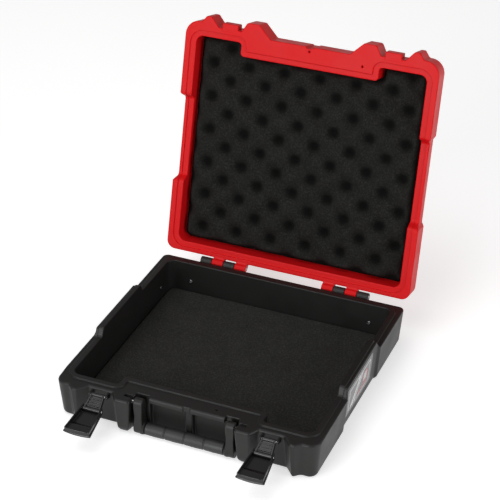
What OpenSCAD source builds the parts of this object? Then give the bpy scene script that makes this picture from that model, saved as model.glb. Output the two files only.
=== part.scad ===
// Hard plastic carry case with an egg-crate foam lid, shown open.
// Millimetres. +X runs along the hinge, -Y is the handle side, +Z is up.
// The origin is the centre of the underside of the base.

/* [Case] */
// Width over the side walls
case_w = 355; // [350:1:420]
// Depth from the front of the blocks beside the latches to the rear wall
case_d = 334; // [300:1:400]
// Height of the base up to its rim
base_h = 53; // [50:1:80]
// Height of the lid above the rim of the base
lid_h = 33.5; // [31:0.5:60]
// How far each side of the lid stands out past the base
lid_over = 1.6; // [0:0.1:2]
// Angle between the closed lid and its open stop
lid_open = 104.8; // [95:0.1:110]

/* [Walls] */
// Thickness of the double side walls at the rim
side_wall = 14.5; // [12:0.5:20]
// Thickness of the double rear wall at the rim
rear_wall = 14; // [12:0.5:20]
// Thickness of the front wall beside the latches
front_wall = 22; // [18:0.5:26]
// Depth of the flat shelf behind the handle
shelf_d = 29.5; // [26:0.5:36]
// Thickness of the floor of the base
floor_t = 3; // [2:0.5:5]
// Thickness of the back panel of the lid
panel_t = 3.5; // [2.5:0.5:6]
// Depth of the plain panel sunk in the outside of the lid
panel_sink = 1.2; // [0.5:0.1:1.5]
// Border left around the sunk panel, from the cavity outline
panel_border = 20; // [12:1:40]
// Inward lean of the outer walls from rim to foot
draft = 4.8; // [1:0.1:5]
// Inward lean of the walls of the lid
lid_draft = 1; // [0.5:0.1:2]
// Height of the soft edge around the foot of the base and the top of the lid
edge_round = 5.5; // [4:0.5:8]
// Radius of the two front corners
front_r = 15; // [12:0.5:18]
// Radius of the two rear corners
rear_r = 8; // [5:0.5:12]
// Radius of the corners of the cavity
cavity_r = 10; // [6:1:16]

/* [Parting line] */
// Half length of the narrow waist of each side wall
waist_half = 57; // [40:1:70]
// Length of the slope at each end of the waist
waist_ramp = 5; // [3:0.5:10]
// How far the waist is set back from the side wall
waist_set = 3; // [1:0.5:5]
// How far the middle of the waist sits towards the hinge
waist_back = 6; // [0:0.5:8]
// How far the parting line rises at the waist
rise_h = 11.5; // [6:0.5:14]
// Half length of the level top of that rise
rise_half = 55; // [30:1:56]
// Length of the slope at each end of the rise
rise_ramp = 6; // [5:0.5:12]
// Height of the tongue around the mouth of the base
tongue_h = 2; // [1:0.5:3]
// Width of the tongue
tongue_w = 7.5; // [5:0.5:8.5]
// Gap between the closed lid and the base
part_gap = 0.4; // [0.3:0.1:1]

/* [Front] */
// Distance of the front corners behind the blocks
corner_back = 6.5; // [4:0.5:9]
// How much further back the front corners of the lid are
lid_corner = 2; // [0:0.5:3]
// Depth of the latch pockets
pocket_d = 13; // [12:0.5:16]
// Distance of the shelf edge behind the blocks
centre_back = 17.5; // [15:0.5:20]
// Distance from the middle of the case to each latch
latch_x = 115; // [112:1:125]
// Half width of a latch pocket at its floor
pocket_half = 16.5; // [15:0.5:18]
// Run of the slope on the handle side of a pocket
flank_in = 7.5; // [4:0.5:8]
// Run of the slope on the corner side of a pocket
flank_out = 11.5; // [8:0.5:12]
// Width of the flat on the corner block
block_flat = 7; // [5:0.5:7]
// Run of the slope from the corner block back to the corner
block_run = 6.5; // [4:0.5:7]
// Length of the slope of the lid's blocks towards the handle
lid_slope = 18; // [10:1:20]
// How far the lid's blocks stand back from the sides of the base's blocks
lid_step = 4; // [0.5:0.5:5]
// Height of the edge of the shelf above the finger recess
shelf_t = 8; // [6:0.5:14]
// Depth of the finger recess under the shelf
recess_d = 13.5; // [8:0.5:16]
// Width of the rib in the middle of the finger recess
rib_w = 11; // [6:1:16]
// How far the rib stands back under the edge of the shelf
rib_set = 6; // [3:0.5:8]
// Width of the shallow groove in the middle of the front edge
groove_w = 10; // [4:0.5:12]
// Depth of that groove
groove_d = 2.5; // [1.5:0.5:4]
// Radius of the small moulded holes in the two flanges
hole_r = 1.6; // [1:0.1:2]
// Depth of those holes
hole_depth = 4; // [2:0.5:6]

/* [Handle] */
// Clear span between the arms of the handle
handle_span = 112; // [100:1:116]
// Width of an arm along the hinge
arm_w = 12.3; // [10:0.1:14]
// How far the foot of an arm widens towards the grip
foot_flare = 2; // [1:0.5:3]
// Gap between an arm and the block beside it
arm_gap = 1.5; // [0.5:0.5:2]
// Distance of the handle's pivot in front of the edge of the shelf
pivot_out = 3.5; // [2:0.5:6]
// Depth of the round top of an arm below the rim
knuckle_drop = 0.2; // [0:0.1:1]
// Radius of the round top of an arm
knuckle_r = 6.8; // [5.5:0.1:7]
// Distance from the pivot down to the middle of the grip
arm_len = 37; // [30:0.5:38]
// Outward lean of the stowed arms
arm_lean = -0.8; // [-4:0.1:4]
// Gap behind the foot of an arm
foot_room = 1; // [0.5:0.5:2]
// Radius of the round foot of an arm
arm_foot_r = 8.5; // [7.5:0.1:9]
// Radius of the bar inside the grip
bar_r = 5.5; // [4:0.1:6.5]
// Radius of the grip
grip_r = 8.4; // [7:0.1:8.4]
// Number of segments along the grip
grip_segments = 4; // [2:1:6]
// Width of the grooves between the segments
grip_groove_w = 1.6; // [1:0.1:3]
// Depth of the grooves between the segments
grip_groove_d = 0.7; // [0.4:0.1:1]
// Radius of the pivot pins
handle_pin_r = 2.5; // [2:0.1:3]
// Length of a pivot pin inside its block
handle_pin_in = 12; // [8:0.5:16]
// Lap of the posts beside the finger recess behind the arms
post_lap = 1.5; // [0.5:0.5:4]

/* [Hinges] */
// Distance from the middle of the case to the inner end of each hinge
hinge_in = 56; // [40:1:80]
// Length of one hinge
hinge_len = 68; // [56:1:80]
// Gap between neighbouring knuckles
hinge_gap = 0.5; // [0.3:0.1:1]
// Radius of the hinge knuckles
hinge_r = 5; // [4.2:0.1:5.2]
// Distance of the hinge axis behind the rear wall
hinge_back = 6.2; // [5.9:0.1:7]
// Distance of the hinge axis below the rim
hinge_drop = 0.5; // [0:0.1:1.5]
// Radius of the hinge pins
hinge_pin_r = 2; // [1.5:0.1:2.5]
// Height of the web under each knuckle
web_h = 11; // [8:0.5:16]
// Thickness of the lugs that stop the open lid
stop_t = 4; // [3:0.5:5]

/* [Latches] */
// Distance of the link pivot below the rim
latch_drop = 5.5; // [4:0.5:7]
// Distance of the link pivot in front of the pocket floor
latch_out = 7; // [6.5:0.5:8]
// Distance between the two pivots of a link
link_len = 20.5; // [18:0.5:22]
// Slope of the open link below level
link_lean = 26; // [20:1:40]
// Slope of the open lever below level
lever_dip = 6; // [0:1:10]
// Length of the lever from its pivot to its tip
lever_len = 44.5; // [40:0.5:48]
// Half width of the link at the case
link_half = 9.2; // [8:0.1:9.5]
// Half width of the link at the lever
link_foot_half = 11.8; // [11:0.1:12]
// Half width of the lever at its pivot
lever_half = 13.9; // [13.7:0.1:14.5]
// Half width of the walls of the lever at its tip
lever_tip_half = 17.3; // [15:0.1:17.5]
// How far the face of the lever stands out beside its walls at the tip
lever_flare = 1.6; // [0.5:0.1:2]
// Radius of the link's two round bars
link_bar_r = 2.6; // [2.4:0.1:2.8]
// Thickness of the plate between the bars
link_plate = 3.8; // [3:0.1:4.4]
// Thickness of the face of the lever
lever_face = 2.2; // [1.6:0.1:2.6]
// Thickness of the walls of the lever
lever_wall = 1.7; // [1.4:0.1:1.8]
// Height of the lever's walls on the case side of its pivot
lever_lip = 3.6; // [3:0.1:4.2]
// Thickness of the end wall that hooks over the lid's catch
hook_t = 3; // [2:0.5:4]
// Radius of the latch pins
latch_pin_r = 1.5; // [1.2:0.1:1.7]
// Thickness of the ears that carry the link
ear_t = 2.4; // [2:0.1:2.6]
// Gap between a link and the ears beside it
ear_gap = 0.8; // [0.5:0.1:1]
// Height of the root of an ear on the pocket floor
ear_root = 7; // [5:0.5:9]
// Thickness of the ribs in the link's windows
rib_t = 1.2; // [0.8:0.1:1.6]
// How far the end of the lever bows
tip_bow = 2; // [1:0.5:3]
// Half width of the catch on the lid
catch_half = 11.5; // [9:0.5:12]
// How far the catch stands out of its notch
catch_out = 7; // [5:0.5:7.5]

/* [Foam, label and screws] */
// Thickness of the flat foam pad
pad_t = 7; // [4:0.5:15]
// Gap between the foam and the walls around it
foam_gap = 0.8; // [0.5:0.1:2]
// Distance between neighbouring crests of the egg-crate foam across the lid
crate_pitch = 51.2; // [42:0.2:52]
// Distance between neighbouring crests from front to rear
crate_row = 42; // [40:0.5:44]
// How far in front of the foam its pattern of crests starts
crate_lead = 13; // [0:0.5:24]
// Height from the hollows to the crests
crate_wave = 11; // [6:0.5:13]
// Distance of the crests behind the rim of the lid
crate_sink = 15; // [8:0.5:16]
// Length of the label on the right waist
label_w = 92; // [60:1:94]
// Height of the label
label_h = 43; // [30:1:46]
// Thickness of the label film
label_t = 0.35; // [0.2:0.05:0.6]
// Distance from the foot of the case to the label
label_z = 17; // [12:1:18]
// How far the label sits from the middle of the waist towards the handle
label_shift = 8; // [0:0.5:9]
// Height of the wall screws above the underside
screw_z = 25; // [18:1:30]
// Distance of the rear screws from the middle of the case
screw_x = 132; // [100:1:145]
// Distance of the side screws in front of the rear wall's cavity face
screw_back = 30; // [20:1:60]
// Radius of the screw heads
screw_head_r = 3.2; // [2.5:0.1:4]
// Height of the screw heads
screw_head_h = 1.2; // [0.8:0.1:2]
// Narrowing of the screw heads towards their face
screw_taper = 0.5; // [0.2:0.1:1]
// Radius of the screw shanks
screw_r = 1.5; // [1.2:0.1:2]
// Length of the screw shanks
screw_len = 8; // [5:0.5:10]

/* [Hidden] */
$fn = 48;
fit = 0.05;                 // radial running clearance of every pin
clear = 0.4;                // clearance between parts that pass each other
seat = 0.3;                 // gap under the lid's foam and at the ends of the grip
eps = 1;                    // overshoot of cuts and roots of joined shapes
corner_steps = 6;
jog_r = 5;                  // radius of the cavity's step behind the shelf
// The moulded holes: distance from the middle of the case, and behind the shelf's edge
shelf_hole = [36, 12.5];
lid_holes = [[0, 6.5], [75, 13.5]];

y_front = -case_d / 2;
y_rear = case_d / 2;
y_corner = y_front + corner_back;
y_pocket = y_front + pocket_d;
y_centre = y_front + centre_back;
pocket_in = latch_x - pocket_half;
pocket_out = latch_x + pocket_half;
boss_out = pocket_in - flank_in;
block_in = pocket_out + flank_out;
block_out = block_in + block_flat;

arm_in = handle_span / 2;
arm_out = arm_in + arm_w;
boss_in = arm_out + arm_gap;
handle_y = y_centre - pivot_out;
handle_z = base_h - knuckle_r - knuckle_drop;
grip_y = handle_y - arm_len * sin(arm_lean);
grip_z = handle_z - arm_len * cos(arm_lean);
foot_in = arm_in - foot_flare;
post_in = foot_in - post_lap;
arm_back = max(grip_y + arm_foot_r, handle_y + knuckle_r) + foot_room;
rib_front = max(y_centre + rib_set, arm_back);

cavity_x = case_w / 2 - side_wall;
cavity_rear = y_rear - rear_wall;
cavity_front = y_corner + front_wall;
cavity_centre = y_centre + shelf_d;
jog_x = pocket_in - eps;

lid_top = base_h + lid_h;
lid_inside = lid_top - panel_t;
hinge_y = y_rear + hinge_back;
hinge_z = base_h - hinge_drop;
knuckle_pitch = hinge_len / 4;

link_y = y_pocket - latch_out;
link_z = base_h - latch_drop;
lever_y = link_y - link_len * cos(link_lean);
lever_z = link_z - link_len * sin(link_lean);
link_swing = 90 - link_lean;
lever_turn = 90 + lever_dip;
lever_off = link_bar_r + clear;
heel = lever_off + eps;
ear_in = link_half + ear_gap;
ear_out = ear_in + ear_t;
catch_top = link_z - link_len + lever_len - hook_t - clear;

// Height and inset of each ring of the outer walls, whose ends are trimmed flat.
// A soft edge is limited by the narrowest flat and the tightest corner along it.
trim = 0.2;
soft_max = min(block_flat, rear_r - fit) - draft;
base_soft = min(edge_round, soft_max);
lid_soft = min(edge_round, soft_max + draft - lid_draft);
base_rings = concat(
    [for (a = [90:-30:0]) [edge_round * (1 - sin(a)) - trim, draft + base_soft * (1 - cos(a))]],
    [[base_h, 0], [lid_top, 0]]);
lid_rings = concat([[0, 0], [base_h, 0]],
    [for (a = [0:30:90])
        [lid_top + trim - edge_round * (1 - sin(a)), lid_draft + lid_soft * (1 - cos(a))]]);

// ---- outlines ----

function arc(c, r, from, to) =
    [for (i = [0:corner_steps]) let (a = from + (to - from) * i / corner_steps)
        c + r * [cos(a), sin(a)]];

// A right half, front to rear, closed by its mirror image
function both_halves(half) =
    concat(half, [for (i = [len(half) - 1:-1:0]) [-half[i][0], half[i][1]]]);

// Outline of the case; toe and top place the block beside the handle, corner the front corners
function case_outline(toe, top, side, corner) = both_halves(concat(
    [[toe, y_centre], [top, y_front], [boss_out, y_front],
     [pocket_in, y_pocket], [pocket_out, y_pocket],
     [block_in, y_front], [block_out, y_front], [block_out + block_run, corner]],
    arc([side - front_r, corner + front_r], front_r, -90, 0),
    [[side, waist_back - waist_half - waist_ramp], [side - waist_set, waist_back - waist_half],
     [side - waist_set, waist_back + waist_half], [side, waist_back + waist_half + waist_ramp]],
    arc([side - rear_r, y_rear - rear_r], rear_r, 0, 90)));

function base_outline() = case_outline(boss_in, boss_in, case_w / 2, y_corner);
function lid_outline() =
    case_outline(boss_in + lid_step - lid_slope, boss_in + lid_step, case_w / 2 + lid_over,
        y_corner + lid_corner);

// Outline of the cavity, which steps back behind the shelf
function cavity_outline() = both_halves(concat(
    [[jog_x - jog_r, cavity_centre], [jog_x, cavity_centre - jog_r],
     [jog_x, cavity_front + jog_r], [jog_x + jog_r, cavity_front]],
    arc([cavity_x - cavity_r, cavity_front + cavity_r], cavity_r, -90, 0),
    arc([cavity_x - cavity_r, cavity_rear - cavity_r], cavity_r, 0, 90)));

// Outline of the plain panel sunk in the outside of the lid
function panel_outline() =
    let (x = cavity_x - panel_border - cavity_r,
         front = cavity_front + panel_border + cavity_r,
         rear = cavity_rear - panel_border - cavity_r)
    both_halves(concat(arc([x, front], cavity_r, -90, 0), arc([x, rear], cavity_r, 0, 90)));

function unit(v) = v / norm(v);
function left_of(v) = [-v[1], v[0]];

// Every edge of an anticlockwise outline moved inwards by d, with mitred corners
function inset(pts, d) =
    let (n = len(pts))
    [for (i = [0:n - 1])
        let (a = left_of(unit(pts[i] - pts[(i + n - 1) % n])),
             b = left_of(unit(pts[(i + 1) % n] - pts[i])))
        pts[i] + (a + b) * d / (1 + a * b)];

// ---- building blocks ----

// Solid whose outline changes by an inset from ring to ring
module ringed(pts, rings, grow = 0) {
    n = len(pts);
    last = len(rings) - 1;
    corners = [for (ring = rings, p = inset(pts, ring[1] - grow)) [p[0], p[1], ring[0]]];
    sides = [for (k = [0:last - 1], i = [0:n - 1])
        let (j = (i + 1) % n)
        [k * n + i, (k + 1) * n + i, (k + 1) * n + j, k * n + j]];
    foot = [for (i = [0:n - 1]) i];
    head = [for (i = [n - 1:-1:0]) last * n + i];
    polyhedron(points = corners, faces = concat([foot, head], sides));
}

module prism(pts, low, high) {
    translate([0, 0, low])
        linear_extrude(high - low)
            polygon(pts);
}

// A profile drawn in Y and Z, extruded from one X to another
module along_x(from, to) {
    translate([from, 0, 0])
        rotate([90, 0, 90])
            linear_extrude(to - from)
                children();
}

module rod(from, to, r, y, z) {
    along_x(from, to)
        translate([y, z])
            circle(r);
}

// Bar with round ends between two points of the Y Z profile
module strap(p, r, q, s) {
    side = left_of(unit(q - p));
    translate(p)
        circle(r);
    translate(q)
        circle(s);
    polygon([p + side * r, p - side * r, q - side * s, q + side * s]);
}

module both_sides() {
    children();
    mirror([1, 0, 0])
        children();
}

// The parting line from rear to front, lifted by some height, closed at a level
module parting_band(lift, level) {
    foot = rise_half + rise_ramp;
    along_x(-case_w, case_w)
        polygon([[case_d, level], [case_d, base_h + lift],
            [waist_back + foot, base_h + lift], [waist_back + rise_half, base_h + rise_h + lift],
            [waist_back - rise_half, base_h + rise_h + lift], [waist_back - foot, base_h + lift],
            [-case_d, base_h + lift], [-case_d, level]]);
}

// Turns what is drawn closed about the hinge axis to the open stop
module opened() {
    translate([0, hinge_y, hinge_z])
        rotate([-lid_open, 0, 0])
            translate([0, -hinge_y, -hinge_z])
                children();
}

// ---- hinges ----

function knuckle_from(i) = hinge_in + i * knuckle_pitch + hinge_gap / 2;
function knuckle_to(i) = hinge_in + (i + 1) * knuckle_pitch - hinge_gap / 2;

// A knuckle with a web down the rear wall, bored for the pin
module base_knuckle(i) {
    along_x(knuckle_from(i), knuckle_to(i))
        union() {
            translate([hinge_y, hinge_z])
                circle(hinge_r);
            polygon([[hinge_y, hinge_z] + hinge_r * [cos(45), -sin(45)],
                [y_rear - draft - eps, hinge_z - web_h],
                [y_rear - draft - eps, hinge_z], [hinge_y, hinge_z]]);
        }
}

// A knuckle with a web up the wall of the closed lid and a stop lug
module lid_knuckle(i) {
    lug = hinge_back - clear;
    root = y_rear - lid_draft - eps;
    along_x(knuckle_from(i), knuckle_to(i))
        union() {
            translate([hinge_y, hinge_z])
                circle(hinge_r);
            polygon([[hinge_y, hinge_z], [root, base_h + part_gap], [root, hinge_z + web_h],
                [hinge_y, hinge_z] + hinge_r * [cos(45), sin(45)]]);
            translate([hinge_y, hinge_z])
                rotate(lid_open - 180)
                    translate([0, -stop_t / 2])
                        square([lug, stop_t]);
        }
}

module hinge_bore() {
    rod(hinge_in - eps, hinge_in + hinge_len + eps, hinge_pin_r + fit, hinge_y, hinge_z);
}

module hinge_pin() {
    color("silver")
        rod(hinge_in, hinge_in + hinge_len, hinge_pin_r, hinge_y, hinge_z);
}

// ---- screws in the cavity walls ----

module at_screws() {
    both_sides() {
        translate([screw_x, cavity_rear, screw_z])
            rotate([90, 0, 0])
                children();
        translate([cavity_x, cavity_rear - screw_back, screw_z])
            rotate([0, -90, 0])
                children();
    }
}

module wall_screws() {
    color("dimgray")
        at_screws() {
            translate([0, 0, -screw_len])
                cylinder(h = screw_len + screw_head_h / 2, r = screw_r);
            cylinder(h = screw_head_h, r1 = screw_head_r, r2 = screw_head_r - screw_taper);
        }
}

// ---- base ----

// Two ears on the pocket floor that carry a link
module ears() {
    both_sides()
        along_x(ear_in, ear_out)
            union() {
                translate([link_y, link_z])
                    circle(link_bar_r);
                polygon([[link_y, link_z + link_bar_r], [link_y, link_z - link_bar_r],
                    [y_pocket + draft + eps, link_z - ear_root],
                    [y_pocket + draft + eps, link_z + link_bar_r]]);
            }
}

module base_body() {
    intersection() {
        ringed(base_outline(), base_rings);
        parting_band(0, 0);
    }
    intersection() {
        prism(inset(cavity_outline(), -tongue_w), base_h - eps, lid_top);
        parting_band(tongue_h, 0);
    }
    both_sides() {
        base_knuckle(1);
        base_knuckle(3);
        translate([latch_x, 0, 0])
            ears();
    }
}

// Small blind hole in the face of a flange
module flange_hole(at, low, high) {
    translate([at[0], y_centre + at[1], low])
        cylinder(h = high - low, r = hole_r);
}

// The space under the shelf for the fingers, around a middle rib
module finger_recess() {
    both_sides()
        translate([rib_w / 2, y_centre - eps, -eps])
            cube([post_in - rib_w / 2, recess_d + eps, base_h - shelf_t + eps]);
    translate([-rib_w, y_centre - eps, -eps])
        cube([2 * rib_w, rib_front - y_centre + eps, base_h - shelf_t + eps]);
}

// Slots for the arms of the handle beside the recess, open at the top
module arm_slots() {
    both_sides()
        translate([post_in - eps, y_front - eps, -eps])
            cube([boss_in - post_in + eps, arm_back - y_front + eps, base_h + 2 * eps]);
}

// Slot in the top of a block through which the pivot pin drops in
module pin_slot() {
    wide = handle_pin_r + fit;
    translate([boss_in - eps, handle_y - wide, handle_z])
        cube([handle_pin_in + clear + eps, 2 * wide, base_h - handle_z + eps]);
}

module front_groove(low, high) {
    translate([-groove_w / 2, y_centre - eps, low])
        cube([groove_w, groove_d + eps, high - low]);
}

module base_shell() {
    color("#1c1d1d")
        difference() {
            base_body();
            prism(cavity_outline(), floor_t, lid_top + eps);
            finger_recess();
            arm_slots();
            front_groove(base_h - shelf_t - eps, base_h + eps);
            both_sides() {
                pin_slot();
                hinge_bore();
                rod(boss_in - eps, boss_in + handle_pin_in + clear, handle_pin_r + fit, handle_y, handle_z);
                rod(latch_x - ear_out - eps, latch_x + ear_out + eps, latch_pin_r + fit, link_y, link_z);
            }
            at_screws()
                translate([0, 0, -screw_len - clear])
                    cylinder(h = screw_len + clear + eps, r = screw_r + fit);
            flange_hole(shelf_hole, base_h - hole_depth, base_h + eps);
        }
}

// ---- lid, drawn closed ----

module lid_body() {
    difference() {
        intersection() {
            ringed(lid_outline(), lid_rings);
            parting_band(part_gap, lid_top);
        }
        intersection() {
            prism(inset(cavity_outline(), -tongue_w - clear), base_h - eps, lid_top);
            parting_band(tongue_h + part_gap, 0);
        }
    }
    both_sides() {
        lid_knuckle(0);
        lid_knuckle(2);
        translate([latch_x - catch_half, y_pocket - catch_out, base_h + part_gap])
            cube([2 * catch_half, catch_out + eps + draft, catch_top - base_h - part_gap]);
    }
}

module lid_shell() {
    color("#d21414")
        opened()
            difference() {
                lid_body();
                prism(cavity_outline(), 0, lid_inside);
                prism(panel_outline(), lid_top - panel_sink, lid_top + eps);
                front_groove(base_h, lid_top + eps);
                both_sides()
                    hinge_bore();
                for (at = lid_holes)
                    flange_hole(at, base_h, base_h + part_gap + hole_depth);
            }
}

// ---- foam ----

module base_foam() {
    color("#2b2c2c")
        prism(inset(cavity_outline(), foam_gap), floor_t, floor_t + pad_t);
}

// Egg-crate sheet drawn closed: crests and hollows in a chequered pattern
module lid_foam() {
    step_x = crate_pitch / 4;
    step_y = crate_row / 4;
    start = cavity_front - eps - crate_lead;
    nx = 2 * ceil((cavity_x + eps) / step_x);
    ny = ceil((cavity_rear + eps - start) / step_y);
    mid_z = base_h + part_gap + crate_sink + crate_wave / 2;
    back_z = lid_inside - seat;
    function wave(i, j) = mid_z - crate_wave / 2 * cos(90 * i) * cos(90 * j);
    crest = [for (j = [0:ny], i = [0:nx])
        [(i - nx / 2) * step_x, start + j * step_y, wave(i, j)]];
    back = [for (p = crest) [p[0], p[1], back_z]];
    all = len(crest);
    row = nx + 1;
    // the corner numbers of the square at column i and row j
    function square(i, j) = [j * row + i, j * row + i + 1, (j + 1) * row + i + 1, (j + 1) * row + i];
    function halves(q) = [[q[0], q[1], q[2]], [q[0], q[2], q[3]]];
    // the outer loop of corners, anticlockwise from above
    loop = concat([for (i = [0:nx - 1]) i], [for (j = [0:ny - 1]) j * row + nx],
        [for (i = [nx:-1:1]) ny * row + i], [for (j = [ny:-1:1]) j * row]);
    faces = concat(
        [for (j = [0:ny - 1], i = [0:nx - 1], f = halves(square(i, j))) f],
        [for (k = [0:len(loop) - 1])
            let (a = loop[k], b = loop[(k + 1) % len(loop)])
            [b, a, a + all, b + all]],
        [[for (k = [len(loop) - 1:-1:0]) loop[k] + all]]);
    color("#2b2c2c")
        opened()
            intersection() {
                polyhedron(points = concat(crest, back), faces = faces);
                prism(inset(cavity_outline(), foam_gap), 0, lid_top);
            }
}

// ---- handle ----

module handle_frame() {
    color("#1c1d1d")
        difference() {
            union() {
                both_sides()
                    along_x(arm_in, arm_out)
                        strap([handle_y, handle_z], knuckle_r, [grip_y, grip_z], arm_foot_r);
                both_sides()
                    rod(foot_in, arm_in + eps, arm_foot_r, grip_y, grip_z);
                rod(-arm_in - eps, arm_in + eps, bar_r, grip_y, grip_z);
            }
            both_sides()
                rod(arm_in - eps, arm_out + eps, handle_pin_r + fit, handle_y, handle_z);
        }
}

module handle_grip() {
    end = foot_in - seat;
    segment = 2 * end / grip_segments;
    color("#262727")
        difference() {
            rod(-end, end, grip_r, grip_y, grip_z);
            rod(-end - eps, end + eps, bar_r + fit, grip_y, grip_z);
            for (k = [1:grip_segments - 1])
                difference() {
                    rod(k * segment - end - grip_groove_w / 2, k * segment - end + grip_groove_w / 2,
                        grip_r + eps, grip_y, grip_z);
                    rod(-end, end, grip_r - grip_groove_d, grip_y, grip_z);
                }
        }
}

module handle_pin() {
    color("silver")
        rod(arm_in + clear, boss_in + handle_pin_in, handle_pin_r, handle_y, handle_z);
}

// ---- latches, drawn closed with the pivot at the origin ----

// Link hanging down from its upper pivot, its window open to the front
module link_part() {
    window = (link_len - 2 * link_bar_r - 2 * rib_t) / 3;
    difference() {
        union() {
            rod(-link_half, link_half, link_bar_r, 0, 0);
            rod(-link_foot_half, link_foot_half, link_bar_r, 0, -link_len);
            translate([0, link_plate / 2, 0])
                rotate([90, 0, 0])
                    linear_extrude(link_plate)
                        polygon([[-link_half, 0], [-link_foot_half, -link_len],
                            [link_foot_half, -link_len], [link_half, 0]]);
        }
        rod(-link_half - eps, link_half + eps, latch_pin_r + fit, 0, 0);
        rod(-link_foot_half - eps, link_foot_half + eps, latch_pin_r + fit, 0, -link_len);
        for (k = [0:2])
            translate([rib_t - link_half, -link_plate / 2 - eps, -link_bar_r - window * (k + 1)])
                cube([2 * (link_half - rib_t), link_plate / 2 + eps, window - rib_t]);
    }
}

// Channel that stands up from its pivot, its open side towards the case
module lever_part() {
    depth = lever_off + lever_face;
    tip = lever_tip_half + lever_flare;
    difference() {
        union() {
            // face
            translate([0, -lever_off, 0])
                rotate([90, 0, 0])
                    linear_extrude(lever_face)
                        polygon([[-lever_half, -heel], [lever_half, -heel], [lever_half, 0],
                            [tip, lever_len - tip_bow], [tip / 2, lever_len - tip_bow / 4],
                            [-tip / 2, lever_len - tip_bow / 4], [-tip, lever_len - tip_bow],
                            [-lever_half, 0]]);
            // side walls
            both_sides()
                translate([0, lever_lip, 0])
                    rotate([90, 0, 0])
                        linear_extrude(lever_lip + depth - eps)
                            polygon([[lever_half - lever_wall, -heel], [lever_half, -heel],
                                [lever_half, 0], [lever_tip_half, lever_len - tip_bow],
                                [lever_tip_half - lever_wall, lever_len - tip_bow],
                                [lever_half - lever_wall, 0]]);
            // end wall, which is the hook
            translate([-lever_tip_half + eps, -depth + eps, lever_len - hook_t])
                cube([2 * lever_tip_half - 2 * eps, depth + lever_lip - eps, hook_t - tip_bow / 2]);
        }
        rod(-lever_half - eps, lever_half + eps, latch_pin_r + fit, 0, 0);
    }
}

module latch_link() {
    color("#18191a")
        translate([latch_x, link_y, link_z])
            rotate([-link_swing, 0, 0])
                link_part();
}

module latch_lever() {
    color("#18191a")
        translate([latch_x, lever_y, lever_z])
            rotate([lever_turn, 0, 0])
                lever_part();
}

module latch_link_pin() {
    color("silver")
        rod(latch_x - ear_out, latch_x + ear_out, latch_pin_r, link_y, link_z);
}

module latch_lever_pin() {
    color("silver")
        rod(latch_x - lever_half - seat, latch_x + lever_half + seat, latch_pin_r, lever_y, lever_z);
}

// ---- label ----

module side_label() {
    color("gainsboro")
        difference() {
            intersection() {
                ringed(base_outline(), base_rings, label_t);
                translate([0, waist_back - label_w / 2 - label_shift, label_z])
                    cube([case_w, label_w, label_h]);
            }
            ringed(base_outline(), base_rings);
        }
}

module left() {
    mirror([1, 0, 0])
        children();
}

base_shell();
lid_shell();
base_foam();
lid_foam();
left() hinge_pin();  // hinge_pin_left
hinge_pin();  // hinge_pin_right
handle_frame();
handle_grip();
left() handle_pin();  // handle_pin_left
handle_pin();  // handle_pin_right
left() latch_link();  // latch_link_left
latch_link();  // latch_link_right
left() latch_lever();  // latch_lever_left
latch_lever();  // latch_lever_right
left() latch_link_pin();  // latch_link_pin_left
latch_link_pin();  // latch_link_pin_right
left() latch_lever_pin();  // latch_lever_pin_left
latch_lever_pin();  // latch_lever_pin_right
side_label();
wall_screws();
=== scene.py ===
"""Looks of a hard plastic carry case with a red foam-lined lid, shown open.

The moulded shells, the handle and the latches are meshed from rounded solids, the
foam, the grip, the hinge knuckles and the screws come from Geometry Nodes.
Lengths in the size classes are millimetres; meshes are written in metres.
"""

import logging
import math
from collections.abc import Callable, Sequence
from dataclasses import dataclass, field
from enum import Enum

import bmesh
import bpy
import numpy as np
from mathutils import Matrix, Vector


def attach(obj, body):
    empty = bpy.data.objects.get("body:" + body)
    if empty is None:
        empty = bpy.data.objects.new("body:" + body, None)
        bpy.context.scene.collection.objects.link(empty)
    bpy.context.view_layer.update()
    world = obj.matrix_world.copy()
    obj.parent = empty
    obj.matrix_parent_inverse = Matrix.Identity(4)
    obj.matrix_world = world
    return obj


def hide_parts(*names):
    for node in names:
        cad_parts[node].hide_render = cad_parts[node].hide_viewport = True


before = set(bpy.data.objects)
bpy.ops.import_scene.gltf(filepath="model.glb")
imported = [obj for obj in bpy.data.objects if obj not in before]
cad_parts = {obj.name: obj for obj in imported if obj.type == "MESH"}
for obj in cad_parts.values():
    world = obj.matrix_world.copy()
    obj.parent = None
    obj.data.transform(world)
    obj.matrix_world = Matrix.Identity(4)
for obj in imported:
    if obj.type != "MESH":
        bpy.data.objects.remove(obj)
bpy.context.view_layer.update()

logging.basicConfig(level=logging.INFO, format="%(message)s")
log = logging.getLogger("case")

Array = np.ndarray
Solid = Callable[[Array, Array, Array], Array]
Point2 = tuple[float, float]
Colour = tuple[float, float, float]
Socket = bpy.types.NodeSocket
Mesh = bpy.types.Mesh
Material = bpy.types.Material
MM = 0.001


# ---------------------------------------------------------------- rounded solids


def meet(a: Array, b: Array, r: float | Array) -> Array:
    """The overlap of two solids, with its outer edge rounded.

    Args:
        a: Signed distance of the first solid, negative inside.
        b: Signed distance of the second solid.
        r: Radius of the rounded edge.

    Returns:
        Signed distance of the overlap.
    """
    return np.minimum(np.maximum(a, b), -r) + np.hypot(np.maximum(a + r, 0), np.maximum(b + r, 0))


def join(a: Array, b: Array, r: float | Array) -> Array:
    """Both solids together, with a fillet of radius r where they meet."""
    return np.maximum(np.minimum(a, b), r) - np.hypot(np.maximum(r - a, 0), np.maximum(r - b, 0))


def cut(a: Array, b: Array, r: float | Array) -> Array:
    """Solid a without solid b, with the edges of the cut rounded to radius r."""
    return meet(a, -b, r)


def span(value: Array, low: float, high: float) -> Array:
    """Signed distance of a slab between two values."""
    return np.abs(value - (low + high) / 2) - (high - low) / 2


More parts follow.
